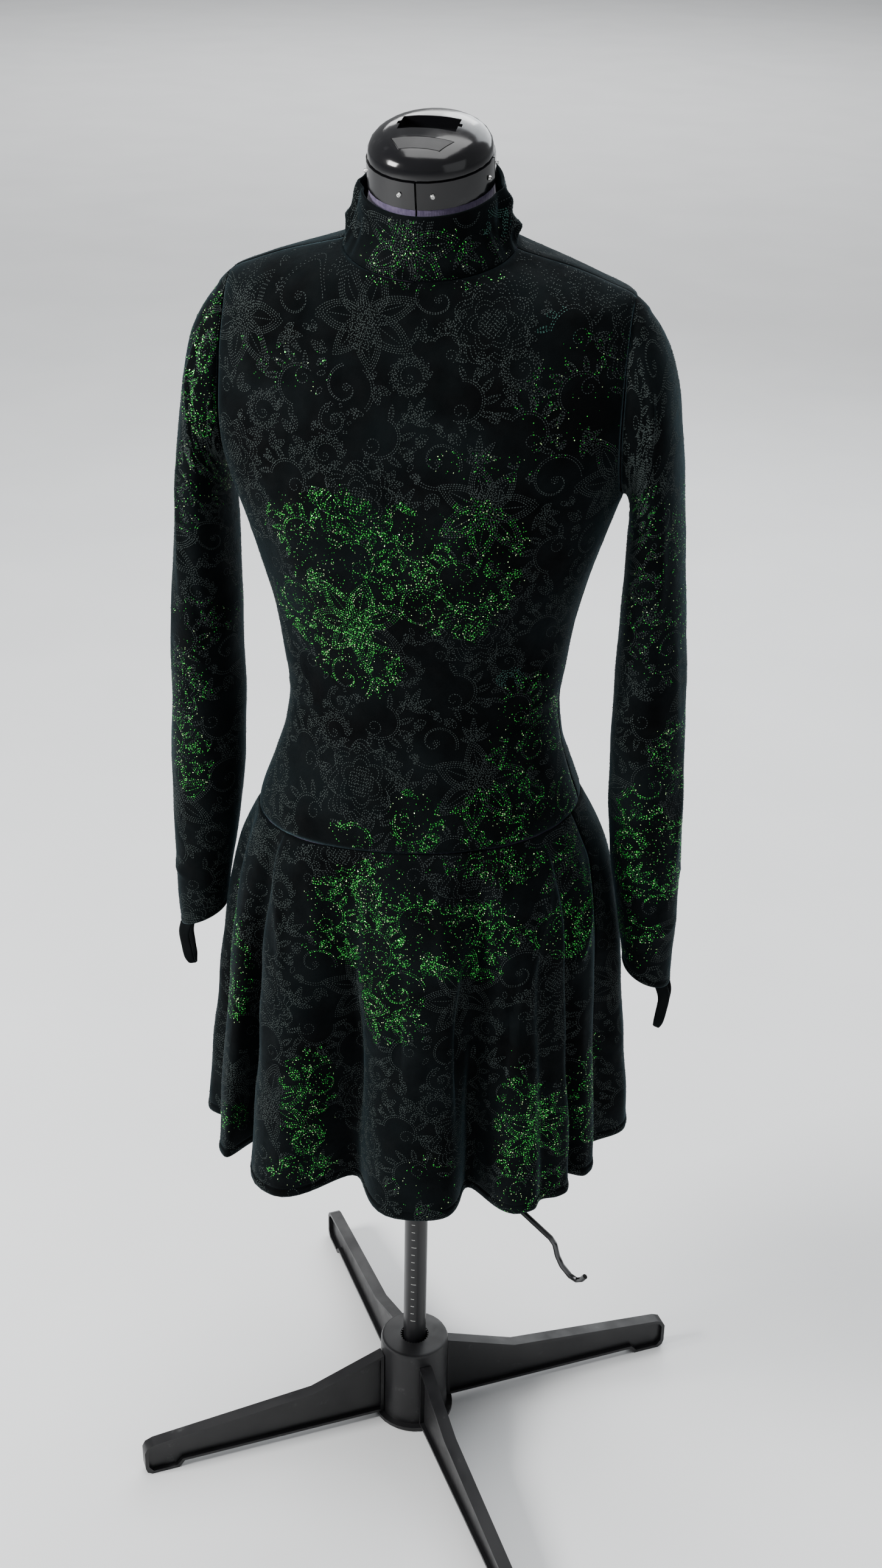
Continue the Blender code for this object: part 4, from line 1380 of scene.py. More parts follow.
class ScrollPrint:
    """The all-over repeat, worked out once in millimetres and laid on every panel."""

    spacing = 2.2
    crowding = 1.25
    flower_room = 0.86
    seed = 21

    def __init__(self) -> None:
        """Lays the flowers, then fills the ground between them."""
        self.shifts = self._neighbours()
        figures = self._filled(np.random.default_rng(self.seed))
        centres = np.array([(f.x, f.y) for f in FLOWERS])[:, None] + self.shifts
        reach = np.array([f.size for f in FLOWERS])[:, None]
        places, turns = [], []
        for figure in figures:
            lines = turned_lines(
                motif_lines(figure.kind, figure.size), figure.turn, figure.x, figure.y
            )
            spots, directions = dotted(lines, self.spacing)
            if figure not in FLOWERS:
                gaps = np.linalg.norm(spots[:, None, None] - centres, axis=3)
                keep = (gaps > self.flower_room * reach).all(axis=(1, 2))
                spots, directions = spots[keep], directions[keep]
            places.append(spots)
            turns.append(directions)
        self.places, self.turns = self._thinned(np.concatenate(places), np.concatenate(turns))

    def _thinned(self, places: np.ndarray, turns: np.ndarray) -> tuple[np.ndarray, np.ndarray]:
        """Drops the dots that would lie on others, and gives the places in metres.

        Args:
            places: Dots in millimetres.
            turns: Their lines' directions.

        Returns:
            The dots that are kept.
        """
        cells = np.round(places / self.crowding).astype(int)
        kept = np.unique(cells, axis=0, return_index=True)[1]
        return places[kept] * MM, turns[kept]

    def _filled(self, rng: np.random.Generator) -> list[MotifPlace]:
        """The flowers, with smaller figures wherever the ground has room for them.

        Args:
            rng: Draws the smaller figures' places.

        Returns:
            All figures.
        """
        figures = list(FLOWERS)
        for filler in FILLERS:
            for x, y, turn in rng.uniform(0, (*REPEAT, 360), (filler.tries, 3)):
                others = np.array([(f.x, f.y) for f in figures])
                room = filler.closeness * (np.array([f.size for f in figures]) + filler.size)
                gaps = np.linalg.norm(others[:, None] + self.shifts - (x, y), axis=2).min(axis=1)
                if (gaps > room).all():
                    figures.append(MotifPlace(filler.kind, x, y, turn, filler.size))
        return figures

    @staticmethod
    def _neighbours() -> np.ndarray:
        """Where the repeat comes again, with every second column dropped by half.

        Returns:
            Shifts in millimetres.
        """
        wide, high = REPEAT
        return np.array(
            [
                (i * wide, j * high + (high / 2 if i % 2 else 0.0))
                for i in range(-1, 2)
                for j in range(-2, 2)
            ]
        )

    def over(self, low: np.ndarray, high: np.ndarray, shift: tuple[float, float]) -> Dots:
        """The print's dots inside a rectangle of cloth.

        Args:
            low: The rectangle's lower corner.
            high: Its upper corner.
            shift: Where the repeat starts, in metres.

        Returns:
            Those dots.
        """
        wide, tall = (side * MM for side in REPEAT)
        places, turns = [], []
        columns = range(int((low[0] - shift[0]) / wide) - 2, int((high[0] - shift[0]) / wide) + 2)
        rows = range(int((low[1] - shift[1]) / tall) - 2, int((high[1] - shift[1]) / tall) + 2)
        for i in columns:
            for j in rows:
                drop = tall / 2 if i % 2 else 0.0
                moved = self.places + (shift[0] + i * wide, shift[1] + j * tall + drop)
                inside = ((moved > low) & (moved < high)).all(axis=1)
                places.append(moved[inside])
                turns.append(self.turns[inside])
        return Dots(np.concatenate(places), np.concatenate(turns))


class EdgeWave(NamedTuple):
    """One unevenness in the glitter patches' edges."""

    seed: int
    length: float
    strength: float


EDGE_WAVES = (EdgeWave(11, 0.058, 0.42), EdgeWave(12, 0.013, 0.24))


class GlitterPatch(NamedTuple):
    """An oval where the print is glitter, seen from its side of the dress, in metres."""

    x: float
    z: float
    half_width: float
    half_height: float
    fullness: float
    dot: Dot = Dot.GREEN


# ---- Cloth sheets ----


class SheetMap:
    """Finds places on a sheet from the laid-out cloth's coordinates."""

    samples = 640
    edge = 0.0012

    def __init__(self, grid: np.ndarray, ups: np.ndarray) -> None:
        """Measures each row from the middle column.

        Args:
            grid: The sheet's outer points, rows by columns.
            ups: The laid-out cloth's upward coordinate of each row, rising.
        """
        self.grid, self.ups = grid, ups
        self.normals = grid_normals(grid, closed=False)
        self.arcs = row_arcs(grid)
        self.reach = float(np.abs(self.arcs).max())
        where = np.linspace(-self.reach, self.reach, self.samples)
        columns = np.arange(grid.shape[1])
        self.lookup = np.array([np.interp(where, row, columns) for row in self.arcs])

    def extent(self) -> tuple[np.ndarray, np.ndarray]:
        """The laid-out cloth's lower and upper corners."""
        return np.array((-self.reach, self.ups[0])), np.array((self.reach, self.ups[-1]))

    def place(self, dots: Dots) -> SimpleNamespace:
        """Where dots land, for those that are on the sheet.

        Args:
            dots: Dots on the laid-out cloth.

        Returns:
            Points, normals, directions along each dot's line and across it, and which dots.
        """
        u, v = dots.places.T
        row = np.interp(v, self.ups, np.arange(len(self.ups)))
        inside = (v > self.ups[0] + self.edge) & (v < self.ups[-1] - self.edge)
        spot = (u + self.reach) / (2 * self.reach) * (self.samples - 1)
        i = np.clip(row.astype(int), 0, len(self.ups) - 2)
        k = np.clip(spot.astype(int), 0, self.samples - 2)
        s, t = row - i, spot - k
        column = self._mixed(self.lookup, i, k, s, t)
        inside &= u > np.interp(row, np.arange(len(self.ups)), self.arcs[:, 0]) + self.edge
        inside &= u < np.interp(row, np.arange(len(self.ups)), self.arcs[:, -1]) - self.edge
        kept = np.flatnonzero(inside)
        i, s, column, turns = i[kept], s[kept], column[kept], dots.turns[kept]
        j = np.clip(column.astype(int), 0, self.grid.shape[1] - 2)
        t = column - j
        points = self._mixed(self.grid, i, j, s, t)
        normals = self._mixed(self.normals, i, j, s, t)
        normals /= np.linalg.norm(normals, axis=1, keepdims=True)
        right = self.grid[i, j + 1] - self.grid[i, j]
        right -= (right * normals).sum(1, keepdims=True) * normals
        right /= np.linalg.norm(right, axis=1, keepdims=True)
        up = np.cross(normals, right)
        up *= np.sign((up * (self.grid[i + 1, j] - self.grid[i, j])).sum(1, keepdims=True))
        c, n = np.cos(turns)[:, None], np.sin(turns)[:, None]
        return SimpleNamespace(
            points=points,
            normals=normals,
            along=c * right + n * up,
            across=c * up - n * right,
            kept=kept,
        )

    @staticmethod
    def _mixed(
        table: np.ndarray, i: np.ndarray, j: np.ndarray, s: np.ndarray, t: np.ndarray
    ) -> np.ndarray:
        """A table read between its entries.

        Args:
            table: Values, rows by columns.
            i: Rows.
            j: Columns.
            s: Shares of the way to the next row.
            t: Shares of the way to the next column.

        Returns:
            A value for each place.
        """
        if table.ndim == 3:
            s, t = s[:, None], t[:, None]
        low = table[i, j] * (1 - t) + table[i, j + 1] * t
        high = table[i + 1, j] * (1 - t) + table[i + 1, j + 1] * t
        return low * (1 - s) + high * s


@dataclass
class ClothSheet:
    """One cut piece of velvet: its outer face, its creases and its print.

    `rolled` says which of the bottom, top, left and right edges are rolled in.
    """

    name: str
    nodes: tuple[str, ...]
    outer: np.ndarray
    ups: np.ndarray
    flat: tuple[float, float]
    held: str
    rests_on: tuple[str, ...]
    area: float | None = None
    thickness: float = 0.0014
    tube: bool = False
    creases: tuple[Crease, ...] = ()
    roll: float = 0.0006
    roll_reach: float = 0.0032
    rolled: tuple[bool, bool, bool, bool] = (True, True, True, True)
    hem: Hem | None = None
    unevenness: float = 0.00035
    wave: float = 0.07
    seed: int = 1
    print_shift: tuple[float, float] = (0.0, 0.0)
    patches: tuple[GlitterPatch, ...] = ()

    def out(self) -> np.ndarray:
        """Unit directions out of the sheet.

        Returns:
            A direction for each point.
        """
        normals = grid_normals(self.outer, closed=False)
        if self.tube:
            normals[:, 0] = normals[:, -1] = grid_normals(self.outer[:, :-1], closed=True)[:, 0]
        return normals

    def shape(self) -> None:
        """Gives the outer face its creases, its unevenness and its rolled-in edges."""
        arcs = row_arcs(self.outer)
        ups = np.repeat(self.ups[:, None], arcs.shape[1], axis=1)
        lift = sum((crease.lift(arcs, ups) for crease in self.creases), np.zeros_like(arcs))
        lift += self.unevenness * soft_noise(self.seed, self.outer, self.wave)
        steps = np.linalg.norm(np.diff(self.outer, axis=0), axis=2)
        run = np.concatenate([np.zeros((1, arcs.shape[1])), np.cumsum(steps, axis=0)])
        gaps = (run - run[:1], run[-1:] - run, arcs - arcs[:, :1], arcs[:, -1:] - arcs)
        for gap, is_rolled in zip(gaps, self.rolled):
            if is_rolled:
                lift -= self.roll * np.exp(-((gap / self.roll_reach) ** 2))
        if self.hem:
            lift += self.hem.lift(run)
        self.outer = self.outer + lift[..., None] * self.out()

    def build(self, velvet: bpy.types.Material) -> bpy.types.Object:
        """Makes the sheet as a thin shell, which stands in for its solids.

        Args:
            velvet: Its cloth.

        Returns:
            The piece.
        """
        self.shape()
        inner = self.outer - self.thickness * self.out()
        if self.tube:
            mesh = shell_mesh(self.name, self.outer[:, :-1], inner[:, :-1], closed=True)
        else:
            mesh = shell_mesh(self.name, self.outer, inner, closed=False)
        piece = add_piece(self.name, mesh, [velvet], Body.FORM)
        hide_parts(*self.nodes)
        return piece

    def declare(self, piece: bpy.types.Object, printed: list[bpy.types.Object]) -> None:
        """Does nothing: the sheet's flat cut and its print are not stated here.

        Args:
            piece: The sheet's piece; not used.
            printed: The pieces on it; not used.
        """


@dataclass
class DotPrinter:
    """Turns the repeat into small raised dots on a sheet."""

    pattern: ScrollPrint
    looks: list[bpy.types.Material]
    half_length: float = 0.00078
    half_width: float = 0.00044
    lift: float = 0.00028
    size_range: tuple[float, float] = (0.82, 1.12)
    tilt: float = 0.16
    # kind_shares and fleck_shares part plain green foil from the bright green and pale painted
    # glints.
    kind_shares: tuple[float, float] = (0.62, 0.95)
    falloff: float = 1.5
    fleck: float = 0.00047
    fleck_area: float = 17e-6
    fleck_range: tuple[float, float] = (0.55, 1.15)
    fleck_tilt: float = 0.3
    fleck_shares: tuple[float, float] = (0.30, 0.78)

    @staticmethod
    def shine(points: np.ndarray, patches: Sequence[GlitterPatch], dot: Dot) -> np.ndarray:
        """How fully each place is covered by patches of one kind, with a ragged edge.

        Args:
            points: The places.
            patches: The patches.
            dot: Teal or green.

        Returns:
            A fullness from 0 to 1.
        """
        ragged = sum(w.strength * soft_noise(w.seed, points, w.length) for w in EDGE_WAVES)
        cover = np.zeros(len(points))
        for patch in patches:
            if (patch.dot is Dot.TEAL) != (dot is Dot.TEAL):
                continue
            gap = ((points[:, 0] - patch.x) / patch.half_width) ** 2
            gap += ((points[:, 2] - patch.z) / patch.half_height) ** 2
            cover = np.where(1 - gap + ragged > 0, np.maximum(cover, patch.fullness), cover)
        return cover

    @staticmethod
    def foils(luck: np.ndarray, shares: tuple[float, float]) -> np.ndarray:
        """Which foil each dot has: green below the first share, the pale painted glint above the
        second, and the bright green painted glint between.
        """
        below = [luck < share for share in shares]
        return np.select(below, [Dot.GREEN.value, Dot.BRIGHT.value], Dot.PALE.value)

    def kinds(
        self, points: np.ndarray, patches: Sequence[GlitterPatch], rng: np.random.Generator
    ) -> np.ndarray:
        """Which kind each dot is, from the patches.

        Args:
            points: The dots' places.
            patches: The patches.
            rng: Draws the foils.

        Returns:
            Values of Dot.
        """
        kinds = np.full(len(points), Dot.DULL.value)
        kinds[self.shine(points, patches, Dot.TEAL) > 0] = Dot.TEAL.value
        foil = rng.random(len(points)) < self.shine(points, patches, Dot.GREEN) ** self.falloff
        luck = rng.random(len(points))
        kinds[foil] = self.foils(luck, self.kind_shares)[foil]
        return kinds

    def build(self, sheet: ClothSheet) -> list[bpy.types.Object]:
        """The print and the loose flecks of one sheet.

        Args:
            sheet: A sheet whose outer face has its final shape.

        Returns:
            Both pieces.
        """
        rng = np.random.default_rng(sheet.seed)
        plan = SheetMap(sheet.outer, sheet.ups)
        spot = plan.place(self.pattern.over(*plan.extent(), sheet.print_shift))
        kinds = self.kinds(spot.points, sheet.patches, rng)
        size = rng.uniform(*self.size_range, len(kinds))
        tilt = rng.normal(0, self.tilt, (2, len(kinds)))
        corners = self._corners(spot, self.half_length * size, self.half_width * size, tilt)
        return [
            self._add(f"{sheet.name}_print", corners, kinds),
            self._add_flecks(sheet, plan, rng),
        ]

    def _add(self, name: str, corners: np.ndarray, kinds: np.ndarray) -> bpy.types.Object:
        """One piece of four-cornered dots, each with its kind's material.

        Args:
            name: Its name.
            corners: Four points a dot.
            kinds: Values of Dot.

        Returns:
            The piece.
        """
        faces = np.arange(len(kinds) * 4).reshape(-1, 4)
        mesh = make_mesh(name, corners.reshape(-1, 3), faces)
        mesh.polygons.foreach_set("material_index", kinds.astype(np.int32))
        mesh.update()
        return add_piece(name, mesh, self.looks, Body.FORM)

    def _corners(
        self,
        spot: SimpleNamespace,
        long: np.ndarray,
        wide: np.ndarray,
        tilt: np.ndarray,
    ) -> np.ndarray:
        """Each dot's corners, raised from the cloth and a little tilted.

        Args:
            spot: Where the dots are.
            long: Half lengths.
            wide: Half widths.
            tilt: Slopes along and across.

        Returns:
            Four points a dot.
        """
        ahead = np.array((1.0, 0.0, -1.0, 0.0)) * long[:, None]
        aside = np.array((0.0, 1.0, 0.0, -1.0)) * wide[:, None]
        along = ahead[..., None] * spot.along[:, None, :]
        across = aside[..., None] * spot.across[:, None, :]
        slope = tilt[0][:, None] * ahead + tilt[1][:, None] * aside
        lift = (self.lift + slope)[..., None] * spot.normals[:, None, :]
        return spot.points[:, None, :] + along + across + lift

    def _add_flecks(
        self, sheet: ClothSheet, plan: SheetMap, rng: np.random.Generator
    ) -> bpy.types.Object:
        """Loose flecks of foil over the glitter patches, as a piece of their own, most of them
        coloured as painted glints.

        Args:
            sheet: The sheet.
            plan: Its map.
            rng: Draws the flecks.

        Returns:
            The piece.
        """
        low, high = plan.extent()
        count = int(np.prod(high - low) / self.fleck_area)
        places = rng.uniform(low, high, (count, 2))
        found = plan.place(Dots(places, rng.uniform(0, pi, count)))
        foil = rng.random(len(found.kept)) < self.shine(found.points, sheet.patches, Dot.GREEN)
        found = SimpleNamespace(**{name: values[foil] for name, values in vars(found).items()})
        size = self.fleck * rng.uniform(*self.fleck_range, len(found.kept))
        tilt = rng.normal(0, self.fleck_tilt, (2, len(size)))
        corners = self._corners(found, size, size, tilt)
        # Most flecks take a painted glint colour, bright green or pale, in place of real sparkle.
        kinds = self.foils(rng.random(len(size)), self.fleck_shares)
        return self._add(f"{sheet.name}_flecks", corners, kinds)


# ---- The dress ----


@dataclass
class Bodice:
    """Front and back bodice panels over the form."""

    body: BodyShape
    clear: float = 0.0012
    cloth: float = 0.0014
    columns: int = 97
    neckline: float = 1.264
    front_creases: tuple[Crease, ...] = rows_of(
        Crease,
        (0.118, 1.075, 38, 0.11, 0.0060, 0.0016, 0.004),
        (0.128, 1.098, 30, 0.09, 0.0050, 0.0013, 0.003),
        (-0.118, 1.080, -42, 0.10, 0.0060, 0.0015, 0.004),
        (-0.136, 1.118, -58, 0.08, 0.0050, 0.0012),
        (0.112, 0.905, 8, 0.10, 0.0050, 0.0011, 0.003),
        (0.120, 0.880, 4, 0.09, 0.0045, 0.0012, -0.002),
        (0.116, 0.855, -3, 0.08, 0.0045, 0.0010),
        (-0.122, 0.872, -5, 0.09, 0.0050, 0.0010, 0.002),
        (-0.080, 0.782, 24, 0.13, 0.0070, 0.0016, -0.006),
        (0.070, 0.790, -18, 0.12, 0.0070, 0.0013, 0.005),
        (0.000, 1.232, 0, 0.10, 0.0060, 0.0010, 0.008),
    )
    back_creases: tuple[Crease, ...] = rows_of(
        Crease,
        (0.120, 1.090, 48, 0.12, 0.0060, 0.0016, 0.004),
        (-0.120, 1.086, -46, 0.12, 0.0060, 0.0015, 0.004),
        (0.020, 0.880, 3, 0.20, 0.0055, 0.0017, 0.006),
        (-0.010, 0.858, -2, 0.22, 0.0055, 0.0018, -0.005),
        (0.010, 0.902, 2, 0.17, 0.0050, 0.0012, 0.004),
        (0.060, 0.792, 20, 0.12, 0.0070, 0.0013),
        (-0.070, 0.788, -22, 0.12, 0.0070, 0.0013),
    )
    front_patches: tuple[GlitterPatch, ...] = rows_of(
        GlitterPatch,
        (-0.056, 0.985, 0.056, 0.062, 0.97),
        (-0.040, 1.040, 0.074, 0.046, 0.90),
        (0.034, 1.010, 0.058, 0.050, 0.82),
        (0.066, 1.060, 0.036, 0.026, 0.60),
        (-0.040, 0.928, 0.038, 0.034, 0.90),
        (0.062, 1.113, 0.045, 0.012, 0.30),
        (0.146, 1.165, 0.050, 0.050, 0.24),
        (0.110, 0.872, 0.040, 0.050, 0.55),
        (-0.046, 0.773, 0.026, 0.012, 0.95),
        (0.022, 0.792, 0.026, 0.024, 0.95),
        (0.092, 0.790, 0.052, 0.032, 0.70),
        (0.010, 1.250, 0.052, 0.012, 0.55),
        (-0.100, 1.175, 0.050, 0.018, 0.18),
        (0.114, 1.216, 0.014, 0.015, 1.0, Dot.TEAL),
        (0.090, 0.919, 0.013, 0.011, 1.0, Dot.TEAL),
    )
    back_patches: tuple[GlitterPatch, ...] = rows_of(
        GlitterPatch,
        (0.050, 1.130, 0.060, 0.055, 0.85),
        (-0.070, 1.010, 0.050, 0.070, 0.80),
        (0.060, 0.900, 0.050, 0.045, 0.65),
        (-0.020, 0.790, 0.070, 0.026, 0.80),
        (-0.120, 1.190, 0.035, 0.030, 0.40),
    )

    def heights(self) -> np.ndarray:
        """The rows, with the underarm and the shoulder among them.

        Returns:
            Heights, rising.
        """
        body = self.body
        parts = ((body.drop_seam, body.underarm, 80), (body.underarm, body.shoulder, 44))
        rows = [np.linspace(low, high, count)[:-1] for low, high, count in parts]
        return np.concatenate([*rows, np.linspace(body.shoulder, self.neckline, 15)])

    def panel(self, centre: float, offset: float) -> np.ndarray:
        """A panel's points about a centre angle.

        Args:
            centre: 0 in front, pi at the back.
            offset: The gap from the skin.

        Returns:
            Points, rows by columns.
        """
        heights = self.heights()[:, None]
        angles = centre + np.linspace(-1, 1, self.columns)[None, :] * self.body.reach(heights)
        return self.body.off_skin(angles, heights + 0 * angles, offset)

    def sheets(self) -> list[ClothSheet]:
        """The two panels.

        Returns:
            Front, then back.
        """
        offset = self.clear + self.cloth
        form = ("form_front_left", "form_front_right", "form_back_left", "form_back_right")
        shared = {
            "ups": self.heights(), "flat": (0.46, 0.645), "held": "stretched", "rests_on": form,
            "rolled": (True, False, True, True),
        }
        return [
            ClothSheet(
                "velvet_bodice_front", ("bodice_front",), self.panel(0.0, offset), area=0.199,
                creases=self.front_creases, seed=3, print_shift=(-0.095, 0.905),
                patches=self.front_patches, **shared,
            ),
            ClothSheet(
                "velvet_bodice_back", ("bodice_back",), self.panel(pi, offset), area=0.201,
                creases=self.back_creases, seed=4, print_shift=(0.020, 0.840),
                patches=self.back_patches, **shared,
            ),
        ]


@dataclass
class Sleeves:
    """Two long sleeves that hang from the armholes."""

    bodice: Bodice
    cloth: float = 0.0014
    seam_gap: float = 0.0004
    columns: int = 84
    ring_step: float = 0.0042
    hem_step: float = 0.0015
    hem: Hem = Hem(width=0.0065, rise=0.0005, stitch=0.0006)
    mirrored_share: float = 0.9
    creases: tuple[Crease, ...] = rows_of(
        Crease,
        (-0.062, -0.050, 62, 0.09, 0.0050, 0.0026, 0.004),
        (-0.078, -0.085, 74, 0.12, 0.0055, 0.0024, -0.004),
        (0.070, -0.060, -64, 0.10, 0.0055, 0.0024, 0.004),
        (-0.050, -0.225, 88, 0.22, 0.0060, 0.0024, 0.006),
        (-0.072, -0.300, 80, 0.18, 0.0050, -0.0018, 0.004),
        (-0.028, -0.330, 96, 0.16, 0.0070, 0.0016),
        (0.050, -0.260, 92, 0.22, 0.0065, 0.0022, 0.004),
        (-0.058, -0.345, 12, 0.06, 0.0055, 0.0020, 0.003),
        (-0.060, -0.372, -8, 0.07, 0.0050, 0.0018, -0.003),
        (0.062, -0.352, -6, 0.06, 0.0050, 0.0019, 0.003),
        (-0.010, -0.470, 84, 0.20, 0.0060, 0.0016, 0.003),
        (0.020, -0.540, -18, 0.07, 0.0045, 0.0015, 0.003),
        (-0.020, -0.590, 14, 0.06, 0.0045, 0.0016, 0.003),
        (0.000, -0.012, 0, 0.11, 0.0045, 0.0014, 0.004),
    )
    left_patches: tuple[GlitterPatch, ...] = rows_of(
        GlitterPatch,
        (0.212, 1.005, 0.036, 0.085, 0.34),
        (0.232, 0.835, 0.020, 0.040, 0.55),
        (0.212, 0.745, 0.032, 0.062, 0.90),
        (0.205, 0.655, 0.028, 0.030, 0.75),
    )
    right_patches: tuple[GlitterPatch, ...] = rows_of(
        GlitterPatch,
        (-0.186, 1.165, 0.018, 0.062, 0.55),
        (-0.200, 1.060, 0.030, 0.040, 0.25),
        (-0.215, 0.860, 0.024, 0.040, 0.45),
        (-0.216, 0.790, 0.022, 0.040, 0.75),
        (-0.196, 0.930, 0.026, 0.030, 0.25),
    )

    def turns(self) -> np.ndarray:
        """Angles round the sleeve from the under line, over the top and back to it."""
        return np.linspace(-pi, pi, self.columns + 1)

    def armhole(self) -> np.ndarray:
        """The +X armhole's edge at each turn, through the cloth's middle.

        Returns:
            A point for each turn.
        """
        body, bodice = self.bodice.body, self.bodice
        turns = self.turns() % (2 * pi)
        front = turns <= pi
        share = np.where(front, 1 - turns / pi, turns / pi - 1)
        height = body.underarm + (body.shoulder - body.underarm) * (1 - np.cos(pi * share)) / 2
        reach = body.reach(height)
        angle = np.where(front, reach, pi - reach)
        inside = body.off_skin(angle, height, bodice.clear)
        outside = body.off_skin(angle, height, bodice.clear + self.cloth)
        middle = (inside + outside) / 2
        middle[:, 0] = np.maximum(inside[:, 0], outside[:, 0]) + self.seam_gap
        return middle

    def section(self, top: np.ndarray, under: np.ndarray, half_depth: float) -> np.ndarray:
        """A plain oval ring between a point on the top line and one on the under line.

        Args:
            top: The top point.
            under: The under point.
            half_depth: Half its depth.

        Returns:
            A point for each turn.
        """
        turns = self.turns()[:, None]
        forward = np.array((0.0, -1.0, 0.0))
        middle, reach = (top + under) / 2, (top - under) / 2
        return middle + np.cos(turns) * reach + half_depth * np.sin(turns) * forward

    def rings(self) -> np.ndarray:
        """The left sleeve's middle surface, from the armhole to the cuff.

        Returns:
            Points, rings by turns.
        """
        start = self.armhole()
        crown = len(start) // 2
        plain = self.section(start[crown], start[0], np.ptp(start[:, 1]) / 2)
        rings = [start]
        for row in SLEEVE_ROWS:
            top = np.array((row.top_x - self.cloth / 2, 0.0, row.top_z))
            under = np.array((row.under_x + self.cloth / 2, 0.0, row.under_z))
            ring = self.section(top, under, row.half_depth)
            rings.append(ring + row.armhole_share * (start - plain))
        control = np.array(rings)
        gaps = np.linalg.norm(np.diff(control[:, crown], axis=0), axis=1)
        steps = [max(int(gap / self.ring_step), 3) for gap in gaps]
        steps[-1] = int(gaps[-1] / self.hem_step)
        return through(control, steps)

    def sheets(self) -> list[ClothSheet]:
        """The two sleeves, each with its own place in the print.

        Returns:
            Left, then right.
        """
        middle = self.rings()
        normals = grid_normals(middle[:, :-1], closed=True)
        normals = np.concatenate([normals, normals[:, :1]], axis=1)
        if normals[len(middle) // 2, self.columns // 2, 0] < 0:
            normals = -normals
        normals[0] = normals[1] * (0.0, 1.0, 1.0)
        normals[0] /= np.linalg.norm(normals[0], axis=1, keepdims=True)
        left = (middle + normals * self.cloth / 2)[::-1, ::-1]
        right = (left * (-1.0, 1.0, 1.0))[:, ::-1]
        run = run_along(left[:, self.columns // 2])
        shared = {
            "ups": run - run[-1], "flat": (0.42, 0.655), "area": 0.128, "held": "hung",
            "rests_on": ("velvet_bodice_front",), "tube": True,
            "rolled": (False, True, False, False), "unevenness": 0.0007, "roll": 0.0009,
            "hem": self.hem,
        }
        return [
            ClothSheet(
                "velvet_sleeve_left", ("sleeve_left",), left, creases=self.creases, seed=5,
                print_shift=(0.060, -0.120), patches=self.left_patches, **shared,
            ),
            ClothSheet(
                "velvet_sleeve_right", ("sleeve_right",), right,
                creases=tuple(crease.mirrored(self.mirrored_share) for crease in self.creases),
                seed=6, print_shift=(-0.030, -0.040), patches=self.right_patches, **shared,
            ),
        ]


